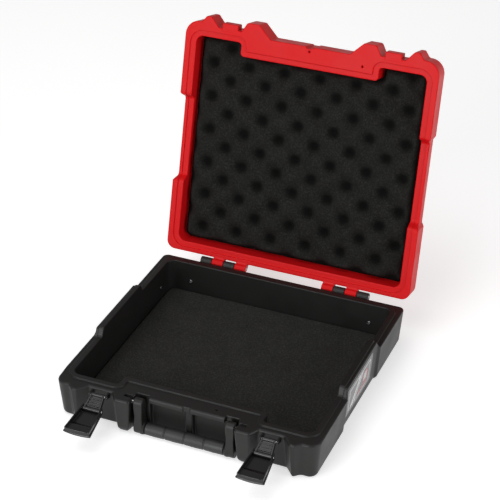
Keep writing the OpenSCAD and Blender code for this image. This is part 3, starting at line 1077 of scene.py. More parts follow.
@dataclass(frozen=True)
class Finishes:
    """Every finish of the case, built once."""

    black: Material
    red: Material
    latch: Material
    grip: Material
    foam_lid: Material
    foam_base: Material
    steel: Material
    screw: Material
    label: Material

    @staticmethod
    def build() -> "Finishes":
        """Builds the finishes.

        Returns:
            The finishes.
        """
        return Finishes(
            black=Finish("black_moulded", (0.0102, 0.0101, 0.0095), 0.46, 0.8, 0.03, specular=0.35).build(),
            red=Finish("red_moulded", (0.62, 0.006, 0.008), 0.4, 0.8, 0.02, 0.05, specular=0.12).build(),
            latch=Finish("latch_nylon", (0.008, 0.008, 0.0085), 0.27, 0.5, 0.008).build(),
            grip=Finish("grip_rubber", (0.02, 0.02, 0.0205), 0.5, 1.1, 0.09).build(),
            foam_lid=FoamFinish("foam_eggcrate", (0.0062, 0.0062, 0.0057), (0.027, 0.027, 0.025)).build(),
            foam_base=FoamFinish("foam_flat", (0.0165, 0.0165, 0.0155), (0.050, 0.050, 0.047)).build(),
            steel=Finish("pin_steel", (0.55, 0.55, 0.56), 0.3, 0.3, 0.004, 0.06, metallic=1.0).build(),
            screw=Finish("screw_blackened", (0.16, 0.16, 0.165), 0.3, 0.4, 0.006, 0.1, metallic=1.0).build(),
            label=LabelFinish("label_print").build(),
        )


# ---------------------------------------------------------------- shells


@dataclass
class BaseShell:
    """The black base with its rim, pockets, shelf and finger recess."""

    sizes: CaseSizes
    outer: Outline
    cavity: Outline
    rim_r: float = 1.6
    front_rim_r: float = 3.6
    foot_r: float = 5.5
    boss_more: float = 4.5
    mouth_r: float = 1.1
    floor_r: float = 4.0
    clear: float = 0.05
    lift: float = 0.02
    pivot: Point2 = (-153.0, 46.0)
    pin_r: float = 2.5
    channel_w: float = 12.4
    hole: Point2 = (36.0, 12.5)

    def solid(self, x: Array, y: Array, z: Array) -> Array:
        """Signed distance of the base in millimetres.

        Args:
            x: X of the places asked for.
            y: Y of the places asked for.
            z: Z of the places asked for.

        Returns:
            Signed distance, negative inside.
        """
        s = self.sizes
        a = np.abs(x)
        wall, hollow = self.outer.at(x, y), self.cavity.at(x, y)
        lean = s.draft * (1 - np.clip(z / s.base_h, 0, 1))
        edge = self.front_rim_r + (self.rim_r - self.front_rim_r) * smooth(y, -146, -126)
        body = meet(wall + lean, s.parting(y, z, 0), edge)
        boss = smooth(-y, 152, 162) * smooth(a, 60, 66) * smooth(-a, -101, -97)
        body = meet(body, -z, self.foot_r + self.boss_more * boss)
        tongue = meet(hollow - s.tongue_w, s.parting(y, z, s.tongue_h), 0.9)
        body = join(body, np.maximum(tongue, s.base_h - 4 - z), 0.5)
        body = cut(body, meet(hollow, s.floor_t - z, self.floor_r), self.mouth_r)
        finger = meet(meet(a - s.post_in, y - s.y_centre - s.recess_d, 2.5), z - s.base_h + s.shelf_t, 3.0)
        rib = meet(a - s.rib_w / 2, s.y_centre + s.rib_set - y, 3.0)
        body = cut(body, cut(finger, rib, 1.5), 1.6)
        slot = meet(span(a, s.post_in - 1, s.boss_in), y - s.y_centre - s.slot_d, 1.5)
        body = cut(body, slot, 1.2)
        py, pz = self.pivot
        channel = np.where(z > pz, np.abs(y - py), np.hypot(y - py, z - pz)) - self.pin_r - self.clear
        body = cut(body, meet(channel, span(a, s.boss_in - 4, s.boss_in + self.channel_w), 0.3), 0.5)
        groove = meet(a - s.groove_w / 2, y - s.y_centre - s.groove_d, 2.0)
        body = cut(body, meet(groove, s.base_h - s.shelf_t - 1 - z, 0.5), 1.0)
        hole = np.hypot(x - self.hole[0], y - s.y_centre - self.hole[1]) - s.hole_r
        return np.maximum(cut(body, np.maximum(hole, s.base_h - s.hole_depth - z), 0.4), self.lift - z)

    def mesher(self) -> Mesher:
        """Grid lines that are close together where the base has its detail.

        Returns:
            The mesher.
        """
        xs = both_ways(
            (0, 9, 0.9), (9, 33, 4), (33, 39, 0.55), (39, 48, 3), (48, 54, 1.0), (54, 66, 2.0), (66, 74, 0.8),
            (74, 152, 1.25), (152, 180, 0.85),
        )
        ys = ticks(
            (-169, -157, 0.9), (-157, -134, 0.7), (-134, -117, 1.1), (-117, -61, 6), (-61, -45, 0.8),
            (-45, 57, 7), (57, 73, 0.8), (73, 140, 6), (140, 153, 1.3), (153, 169, 0.85),
        )
        zs = ticks((-1.5, 9, 0.8), (9, 39, 4), (39, 57, 0.7), (57, 61, 1.0), (61, 69, 0.75))
        return Mesher(xs, ys, zs)

    def build(self, finishes: Finishes) -> bpy.types.Object:
        """Adds the base to the scene."""
        mesh = self.mesher().mesh("base_shell_moulded", self.solid)
        return add_piece(mesh, "base_shell_moulded", Body.BASE, Slot.BLACK, finishes.black, "base_shell")


@dataclass
class LidShell:
    """The red lid, drawn closed and then turned open."""

    sizes: CaseSizes
    outer: Outline
    cavity: Outline
    rim_r: float = 1.3
    top_r: float = 5.5
    mouth_r: float = 1.1
    inside_r: float = 4.0
    groove_gap: float = 0.4
    catch_half: float = 11.5
    catch_out: float = 7.0
    catch_top: float = 68.1
    holes: tuple[Point2, ...] = ((0.0, 6.5), (75.0, 13.5))

    def solid(self, x: Array, y: Array, z: Array) -> Array:
        """Signed distance of the closed lid in millimetres.

        Args:
            x: X of the places asked for.
            y: Y of the places asked for.
            z: Z of the places asked for.

        Returns:
            Signed distance, negative inside.
        """
        s = self.sizes
        a = np.abs(x)
        wall, hollow = self.outer.at(x, y), self.cavity.at(x, y)
        lean = s.lid_draft * np.clip((z - s.base_h) / s.lid_h, 0, 1)
        body = meet(wall + lean, -s.parting(y, z, s.part_gap), self.rim_r)
        body = meet(body, z - s.lid_top, self.top_r)
        catch = meet(a - s.latch_x - self.catch_half, s.latch_x - self.catch_half - a, 0.1)
        catch = meet(catch, s.y_pocket - self.catch_out - y, 1.2)
        catch = meet(catch, span(z, s.base_h + s.part_gap, self.catch_top), 1.2)
        body = join(body, np.maximum(catch, y - s.y_pocket - 3), 0.8)
        groove = np.maximum(hollow - s.tongue_w - self.groove_gap, s.parting(y, z, s.tongue_h + s.part_gap))
        body = cut(body, groove, 0.5)
        body = cut(body, meet(hollow, z - s.lid_top + s.panel_t, self.inside_r), self.mouth_r)
        side = s.width / 2 - s.side_wall - s.panel_border
        front, rear = s.y_corner + s.front_wall + s.panel_border, s.y_rear - s.rear_wall - s.panel_border
        panel = meet(meet(a - side, span(y, front, rear), s.cavity_r), s.lid_top - s.panel_sink - z, 0.4)
        body = cut(body, panel, 1.0)
        notch = meet(a - s.groove_w / 2, y - s.y_centre - s.groove_d, 1.0)
        body = cut(body, notch, 0.8)
        deep = s.base_h + s.part_gap + s.hole_depth
        for across, back in self.holes:
            hole = np.hypot(x - across, y - s.y_centre - back) - s.hole_r
            body = cut(body, np.maximum(hole, z - deep), 0.4)
        return body

    def mesher(self) -> Mesher:
        """Grid lines that are close together where the lid has its detail.

        Returns:
            The mesher.
        """
        xs = np.unique(np.concatenate([
            both_ways((0, 9, 0.8), (9, 49, 4), (49, 62, 1.1), (62, 152, 1.25), (152, 181.5, 0.85)),
            ticks((72, 78, 0.6)),
        ]))
        xs = xs[np.concatenate([[True], np.diff(xs) > 0.3])]
        ys = ticks(
            (-169, -146, 0.9), (-146, -134, 0.6), (-134, -97, 1.2), (-97, -61, 4), (-61, -45, 0.8),
            (-45, 57, 7), (57, 73, 0.8), (73, 128, 6), (128, 138, 1.1), (138, 169, 0.85),
        )
        zs = ticks((52, 58, 0.7), (58, 63.5, 1.1), (63.5, 71, 0.75), (71, 78, 1.6), (78, 88, 0.75))
        return Mesher(xs, ys, zs)

    def build(self, finishes: Finishes) -> bpy.types.Object:
        """Adds the lid to the scene."""
        mesh = self.mesher().mesh("lid_shell_moulded", self.solid, self.sizes.opened())
        return add_piece(mesh, "lid_shell_moulded", Body.LID, Slot.RED, finishes.red, "lid_shell")


# ---------------------------------------------------------------- hinges, handle, latches


def turned_pin(name: str, low: float, high: float, r: float, y: float, z: float) -> Mesh:
    """A steel pin along X with rounded ends.

    Args:
        name: Name of the mesh.
        low: X of one end in millimetres.
        high: X of the other end.
        r: Radius.
        y: Y of its axis.
        z: Z of its axis.

    Returns:
        The pin's mesh.
    """
    soft, around = 0.35 * r, 40
    arc = [(soft * (1 - math.cos(a)), r - soft * (1 - math.sin(a))) for a in (0.5, 1.0)]
    profile = [(0.0, r - soft), *arc, (soft, r)]
    stations = [(low + d, q) for d, q in profile] + [(high - d, q) for d, q in reversed(profile)]
    spokes = [(math.cos(a), math.sin(a)) for a in (2 * math.pi * k / around for k in range(around))]
    made = bmesh.new()
    rings = []
    for x, q in stations:
        rings.append([made.verts.new((x * MM, (y + q * c) * MM, (z + q * d) * MM)) for c, d in spokes])
    for first, second in zip(rings, rings[1:]):
        for k in range(around):
            j = (k + 1) % around
            made.faces.new((first[k], first[j], second[j], second[k])).smooth = True
    made.faces.new(rings[0][::-1])
    made.faces.new(rings[-1])
    bmesh.ops.recalc_face_normals(made, faces=made.faces)
    mesh = bpy.data.meshes.new(name)
    made.to_mesh(mesh)
    made.free()
    return mesh


@dataclass
class Hinges:
    """Knuckles of the base and of the lid on a common pin on each side."""

    sizes: CaseSizes
    inner: float = 56.0
    length: float = 68.0
    gap: float = 0.5
    r: float = 5.0
    pin_r: float = 2.0
    web: float = 11.0
    lug_t: float = 4.0
    lug_short: float = 0.4
    edge: float = 0.8
    clear: float = 0.05

    @property
    def pitch(self) -> float:
        """Distance from knuckle to knuckle."""
        return self.length / 4

    def knuckle(self, index: int, web: Sequence[Point2], lug: bool) -> Solid:
        """A knuckle with its web.

        Args:
            index: Place along the hinge, from the inner end.
            web: Corners of the web in Y and Z, anticlockwise.
            lug: Whether it carries the lug that stops the open lid.

        Returns:
            The solid.
        """
        s = self.sizes
        hy, hz = s.hinge
        low = self.inner + index * self.pitch + self.gap / 2
        turn = math.radians(s.lid_open - 180)

        def solid(x: Array, y: Array, z: Array) -> Array:
            """Signed distance of the knuckle.

            Args:
                x: X of the places asked for.
                y: Y of the places asked for.
                z: Z of the places asked for.

            Returns:
                Signed distance, negative inside.
            """
            profile = join(np.hypot(y - hy, z - hz) - self.r, convex(web, y, z, 0.6), 1.0)
            if lug:
                along = (y - hy) * math.cos(turn) + (z - hz) * math.sin(turn)
                across = (z - hz) * math.cos(turn) - (y - hy) * math.sin(turn)
                reach = s.hinge_back - self.lug_short
                bar = meet(span(along, 0, reach), np.abs(across) - self.lug_t / 2, 0.6)
                profile = join(profile, bar, 0.8)
            body = meet(profile, span(x, low, low + self.pitch - self.gap), self.edge)
            return cut(body, np.hypot(y - hy, z - hz) - self.pin_r - self.clear, 0.3)

        return solid

    def mesher(self, index: int, low: float, high: float) -> Mesher:
        """Even grid around a knuckle whose web reaches from low to high.

        Args:
            index: Place along the hinge, from the inner end.
            low: Lowest Z of the web.
            high: Greatest Z of the web.

        Returns:
            The mesher.
        """
        s = self.sizes
        start = self.inner + index * self.pitch
        end = start + self.pitch + 0.6
        back = s.y_rear - s.draft - 2
        return Mesher(
            ticks((start - 0.6, start + 2.4, 0.5), (start + 2.4, end - 3, 2.6), (end - 3, end, 0.5)),
            ticks((back, s.hinge[0] + self.r + 1.5, 0.5)), ticks((low, high, 0.5)), flat_angle=0,
        )

    def build(self, finishes: Finishes) -> None:
        """Adds the knuckles and pins.

        Args:
            finishes: The case's finishes.
        """
        s = self.sizes
        hy, hz = s.hinge
        back, root, edge = s.y_rear - s.draft - 1, s.y_rear - s.lid_draft - 1, self.r * math.sqrt(0.5)
        low_web = [(back, hz - self.web), (hy + edge, hz - edge), (hy, hz), (back, hz)]
        high_web = [(hy, hz), (hy + edge, hz + edge), (root, hz + self.web), (root, s.base_h + s.part_gap)]
        base = self.mesher(1, hz - self.web - 2, hz + self.r + 2).mesh(
            "knuckle", self.knuckle(1, low_web, False)
        )
        lid = self.mesher(0, hz - self.r - 3, hz + self.web + 2).mesh(
            "knuckle", self.knuckle(0, high_web, True), s.opened()
        )
        for mesh, name, body, slot, material in (
            (base, "hinge_knuckles_base", Body.BASE, Slot.BLACK, finishes.black),
            (lid, "hinge_knuckles_lid", Body.LID, Slot.RED, finishes.red),
        ):
            add_piece(repeated(mesh, name, 2, 2 * self.pitch, material), name, body, slot, material)
        pin = turned_pin("hinge_pin_turned", self.inner, self.inner + self.length, self.pin_r, hy, hz)
        add_pairs(Pair(pin, "hinge_pin_turned", FIXED, Slot.STEEL, finishes.steel, "hinge_pin"))


@dataclass
class Handle:
    """Folding handle: two arms, a bar, and a grip that is grooved around."""

    sizes: CaseSizes
    inner: float = 56.0
    arm_w: float = 12.3
    foot_flare: float = 2.0
    knuckle_r: float = 6.8
    pivot_out: float = 3.5
    knuckle_drop: float = 0.2
    arm_len: float = 37.0
    lean: float = -0.8
    foot_r: float = 8.5
    bar_r: float = 5.5
    grip_r: float = 8.4
    segments: int = 4
    groove_w: float = 1.6
    groove_d: float = 0.7
    pin_r: float = 2.5
    pin_in: float = 12.0
    waist: float = 1.1
    arm_edge: float = 1.5
    seat: float = 0.3
    bulge: float = 0.25
    end_r: float = 1.2
    end_drop: float = 1.1
    clear: float = 0.05
    lowest: float = 0.52

    @property
    def pivot(self) -> Point2:
        """Y and Z of the pivot."""
        s = self.sizes
        return s.y_centre - self.pivot_out, s.base_h - self.knuckle_r - self.knuckle_drop

    @property
    def grip(self) -> Point2:
        """Y and Z of the middle of the grip."""
        turn = math.radians(self.lean)
        return self.pivot[0] - self.arm_len * math.sin(turn), self.pivot[1] - self.arm_len * math.cos(turn)

    def frame_solid(self, x: Array, y: Array, z: Array) -> Array:
        """Signed distance of the two arms and the bar.

        Args:
            x: X of the places asked for.
            y: Y of the places asked for.
            z: Z of the places asked for.

        Returns:
            Signed distance, negative inside.
        """
        a = np.abs(x)
        (py, pz), (gy, gz) = self.pivot, self.grip
        along = np.clip(((y - py) * (gy - py) + (z - pz) * (gz - pz)) / self.arm_len**2, 0, 1)
        narrow = self.waist * smooth(along, 0.05, 0.5) * (1 - smooth(along, 0.5, 0.95))
        profile = capsule(y, z, self.pivot, self.grip, self.knuckle_r, self.foot_r) + 0.9 * narrow
        arm = meet(profile, span(a, self.inner, self.inner + self.arm_w) + 0.8 * narrow, self.arm_edge)
        around = np.hypot(y - gy, z - gz)
        collar = meet(around - self.foot_r, span(a, self.inner - self.foot_flare, self.inner + 3), 0.9)
        body = join(join(arm, collar, 2.0), np.maximum(around - self.bar_r, a - self.inner - 1), 0.3)
        bore = np.maximum(np.hypot(y - py, z - pz) - self.pin_r - self.clear, self.inner + 2.2 - a)
        return np.maximum(cut(body, bore, 0.3), self.lowest - z)

    def grip_rule(self, t: Tree, start: bpy.types.Node) -> Socket:
        """Writes the grip's tree: a line whose thickness follows segments, grooves and ends.

        Args:
            t: Writer of the tree.
            start: Input node of the tree.

        Returns:
            The grip.
        """
        half, r = start.outputs["Half length"], start.outputs["Radius"]
        length = t.times(half, 2.0)
        ends = [t.add("ShaderNodeCombineXYZ", {"X": x}).outputs[0] for x in (t.times(half, -1.0), half)]
        line = t.add("GeometryNodeCurvePrimitiveLine", {"Start": ends[0], "End": ends[1]}).outputs["Curve"]
        line = t.add("GeometryNodeResampleCurve", {"Curve": line, "Count": 620}).outputs["Curve"]
        x = t.add("ShaderNodeSeparateXYZ", {0: t.add("GeometryNodeInputPosition").outputs[0]}).outputs["X"]
        pitch = t.math("DIVIDE", length, start.outputs["Segments"])
        where = t.math("PINGPONG", t.math("ADD", x, half), t.times(pitch, 0.5))
        groove = t.ramp(where, 0.0, start.outputs["Groove width"], start.outputs["Groove depth"], 0.0)
        swell = t.ramp(where, 0.0, t.times(pitch, 0.5), start.outputs["Bulge"], 0.0)
        to_end = t.minus(half, t.math("ABSOLUTE", x))
        reach = self.end_r * MM
        near = t.times(t.minus(reach, t.math("MINIMUM", to_end, reach)), 1 / reach)
        soft = t.times(t.math("POWER", near, 2.5), self.end_drop * MM)
        thick = t.minus(t.minus(r, groove), t.math("ADD", swell, soft))
        ring = t.add("GeometryNodeCurvePrimitiveCircle", {"Resolution": 72, "Radius": 1.0}).outputs["Curve"]
        swept = t.add("GeometryNodeSetCurveRadius", {"Curve": line, "Radius": thick}).outputs[0]
        tube = t.add("GeometryNodeCurveToMesh", {"Curve": swept, "Profile Curve": ring, "Fill Caps": True})
        if "Scale" in tube.inputs:
            t.tree.links.new(t.add("GeometryNodeInputRadius").outputs[0], tube.inputs["Scale"])
        seat = t.add("ShaderNodeCombineXYZ", {"Y": self.grip[0] * MM, "Z": self.grip[1] * MM}).outputs[0]
        placed = t.add("GeometryNodeTransform", {"Geometry": tube.outputs[0], "Translation": seat}).outputs[0]
        return t.add("GeometryNodeSetShadeSmooth", {"Geometry": placed}).outputs[0]

    def build(self, finishes: Finishes) -> None:
        """Adds the arms, the grip and the pivot pins.

        Args:
            finishes: The case's finishes.
        """
        (py, pz), (gy, gz) = self.pivot, self.grip
        mesher = Mesher(
            both_ways((0, 52, 8.7), (52, 59, 0.6), (59, 65.5, 1.2), (65.5, 70, 0.6)),
            ticks((min(gy, py) - 10, max(gy, py) + 10, 0.6)), ticks((gz - 9.8, pz + 8.5, 0.6)),
        )
        frame_mesh = mesher.mesh("handle_arms", self.frame_solid)
        add_piece(frame_mesh, "handle_arms", Body.HANDLE, Slot.BLACK, finishes.black, "handle_frame")
        lengths = {
            "Half length": self.inner - self.foot_flare - self.seat, "Radius": self.grip_r,
            "Bulge": self.bulge, "Groove width": self.groove_w, "Groove depth": self.groove_d,
        }
        inputs = {name: ("NodeSocketFloat", length * MM) for name, length in lengths.items()}
        inputs["Segments"] = ("NodeSocketFloat", float(self.segments))
        grip = NodeWork("grip_rings", inputs, self.grip_rule).run(
            bpy.data.meshes.new("grip_start"), "handle_grip_ringed", finishes.grip
        )
        add_piece(grip, "handle_grip_ringed", Body.HANDLE, Slot.GRIP, finishes.grip, "handle_grip")
        end = self.sizes.boss_in + self.pin_in
        pin = turned_pin("handle_pin_turned", self.inner + 2.4, end, self.pin_r, py, pz)
        add_pairs(Pair(pin, "handle_pin_turned", FIXED, Slot.STEEL, finishes.steel, "handle_pin"))


@dataclass
class Latches:
    """The two over-centre latches: ears on the base, a link, a lever and two pins each."""

    sizes: CaseSizes
    drop: float = 5.5
    out: float = 7.0
    link_len: float = 20.5
    lean: float = 26.0
    dip: float = 6.0
    lever_len: float = 44.5
    link_half: float = 9.2
    foot_half: float = 11.8
    lever_half: float = 13.9
    tip_half: float = 17.3
    flare: float = 1.6
    bar_r: float = 2.6
    rail_w: float = 2.4
    face: float = 2.2
    wall: float = 1.7
    lip: float = 3.6
    hook: float = 3.0
    bow: float = 2.0
    pin_r: float = 1.5
    ear_t: float = 2.4
    ear_gap: float = 0.8
    ear_root: float = 7.0
    offset: float = 3.0
    ribs: tuple[float, ...] = (-6.2, -10.6, -14.9)
    clear: float = 0.05

    @property
    def link_pivot(self) -> Point2:
        """Y and Z of the link's pivot on the case."""
        return self.sizes.y_pocket - self.out, self.sizes.base_h - self.drop

    @property
    def lever_pivot(self) -> Point2:
        """Y and Z of the lever's pivot on the open link.

        Returns:
            The pivot.
        """
        turn = math.radians(self.lean)
        y, z = self.link_pivot
        return y - self.link_len * math.cos(turn), z - self.link_len * math.sin(turn)

    def ear_solid(self, x: Array, y: Array, z: Array) -> Array:
        """Signed distance of the inner ear of the right latch.

        Args:
            x: X of the places asked for.
            y: Y of the places asked for.
            z: Z of the places asked for.

        Returns:
            Signed distance, negative inside.
        """
        py, pz = self.link_pivot
        back = self.sizes.y_pocket + self.sizes.draft + 1
        top = pz + self.bar_r
        web = [(py, pz - self.bar_r), (back, pz - self.ear_root), (back, top), (py, top)]
        profile = join(np.hypot(y - py, z - pz) - self.bar_r, convex(web, y, z, 0.3), 0.3)
        mid = self.sizes.latch_x - self.link_half - self.ear_gap - self.ear_t / 2
        body = meet(profile, np.abs(x - mid) - self.ear_t / 2, 0.6)
        return cut(body, np.hypot(y - py, z - pz) - self.pin_r - self.clear, 0.25)

    def link_solid(self, x: Array, y: Array, z: Array) -> Array:
        """Signed distance of a link that hangs from its upper pivot at the origin.

        Args:
            x: X of the places asked for.
            y: Y of the places asked for.
            z: Z of the places asked for.

        Returns:
            Signed distance, negative inside.
        """
        a, length = np.abs(x), self.link_len
        half = self.link_half + (self.foot_half - self.link_half) * np.clip(-z / length, 0, 1)
        top = meet(np.hypot(y, z) - self.bar_r, a - self.link_half, 0.8)
        foot = meet(np.hypot(y, z + length) - self.bar_r, a - self.foot_half, 0.8)
        rail = meet(meet(span(a, half - self.rail_w, half), np.abs(y) - 2.3, 0.7), span(z, -length, 0), 0.2)
        plate = meet(meet(a - half + 1.2, span(y, 0.0, 1.9), 0.2), span(z, -length + 4.6, -1.5), 0.6)
        body = join(join(top, foot, 0.2), join(rail, plate, 0.5), 0.4)
        for level in self.ribs:
            rib = meet(meet(a - half + 1.2, span(y, -1.5, 0.6), 0.4), np.abs(z - level) - 0.75, 0.5)
            body = join(body, rib, 0.3)
        for level in (0.0, -length):
            body = cut(body, np.hypot(y, z - level) - self.pin_r - self.clear, 0.25)
        return body

    def lever_solid(self, x: Array, y: Array, z: Array) -> Array:
        """Signed distance of a lever that stands up from its pivot at the origin.

        Args:
            x: X of the places asked for.
            y: Y of the places asked for.
            z: Z of the places asked for.

        Returns:
            Signed distance, negative inside.
        """
        a = np.abs(x)
        rise = np.clip(z / (self.lever_len - self.bow), 0, 1)
        half = self.lever_half + (self.tip_half - self.lever_half) * rise
        wide = half + self.flare * rise
        heel = -self.offset - 1
        tip = self.lever_len - 0.25 - self.bow * (a / (self.tip_half + self.flare)) ** 2
        front = -self.offset - self.face
        face = meet(meet(a - wide, heel - z, 2.0), z - tip, 0.9)
        face = meet(face, span(y, front, -self.offset), 0.7)
        edge = self.lip - 1.1 * smooth(z, 14, 38)
        slope = 1.3 * np.clip((y - front) / (self.lip - front), 0, 1)
        tub = meet(meet(a - half, heel - z, 1.6), z - tip + 0.3 + slope, 1.0)
        tub = meet(tub, span(y, front + 1, self.lip) + (self.lip - edge) * (y > 0), 0.7)
        floor = -self.offset + 2.3 * smooth(z, 23.4, 30.5)
        hollow = meet(a - half + self.wall, z - self.lever_len + self.hook, 2.2)
        tub = cut(tub, meet(hollow, floor - y, 1.0), 0.6)
        body = join(face, tub, 0.5)
        return cut(body, np.hypot(y, z) - self.pin_r - self.clear, 0.25)

    def build(self, finishes: Finishes) -> None:
        """Adds the ears, links, levers and pins.

        Args:
            finishes: The case's finishes.
        """
        (ly, lz), (vy, vz), across = self.link_pivot, self.lever_pivot, self.sizes.latch_x
        near = across - self.link_half - self.ear_gap - self.ear_t
        ear = Mesher(
            ticks((near - 0.8, near + self.ear_t + 0.8, 0.35)), ticks((ly - 4, self.sizes.y_pocket + 5, 0.5)),
            ticks((lz - 9, lz + 4, 0.5)), flat_angle=0,
        ).mesh("ear", self.ear_solid)
        apart = 2 * (self.link_half + self.ear_gap) + self.ear_t
        name = "latch_ears"
        add_piece(repeated(ear, name, 2, apart, finishes.black), name, Body.BASE, Slot.BLACK, finishes.black)
        link_at = Matrix.Translation((across, ly, lz)) @ Matrix.Rotation(math.radians(self.lean - 90), 4, "X")
        lever_at = Matrix.Translation((across, vy, vz)) @ Matrix.Rotation(math.radians(90 + self.dip), 4, "X")
        link = Mesher(
            both_ways((0, 12.8, 0.4)), ticks((-3.4, 3.4, 0.4)), ticks((-24, 3.4, 0.4))
        ).mesh("link", self.link_solid, link_at)
        lever = Mesher(
            both_ways((0, 19.8, 0.45)), ticks((-6, 4.6, 0.42)), ticks((-5, 45.5, 0.45))
        ).mesh("lever", self.lever_solid, lever_at)
        reach = self.link_half + self.ear_gap + self.ear_t
        link_pin = turned_pin("link_pin", across - reach, across + reach, self.pin_r, ly, lz)
        reach = self.lever_half + 0.3
        lever_pin = turned_pin("lever_pin", across - reach, across + reach, self.pin_r, vy, vz)
        links, levers = (Body.LINK_RIGHT, Body.LINK_LEFT), (Body.LEVER_RIGHT, Body.LEVER_LEFT)
        add_pairs(
            Pair(link, "latch_link_ribbed", links, Slot.LATCH, finishes.latch, "latch_link"),
            Pair(lever, "latch_lever_tray", levers, Slot.LATCH, finishes.latch, "latch_lever"),
            Pair(link_pin, "latch_link_pin_turned", FIXED, Slot.STEEL, finishes.steel, "latch_link_pin"),
            Pair(lever_pin, "latch_lever_pin_turned", levers, Slot.STEEL, finishes.steel, "latch_lever_pin"),
        )


# ---------------------------------------------------------------- foam, label, screws


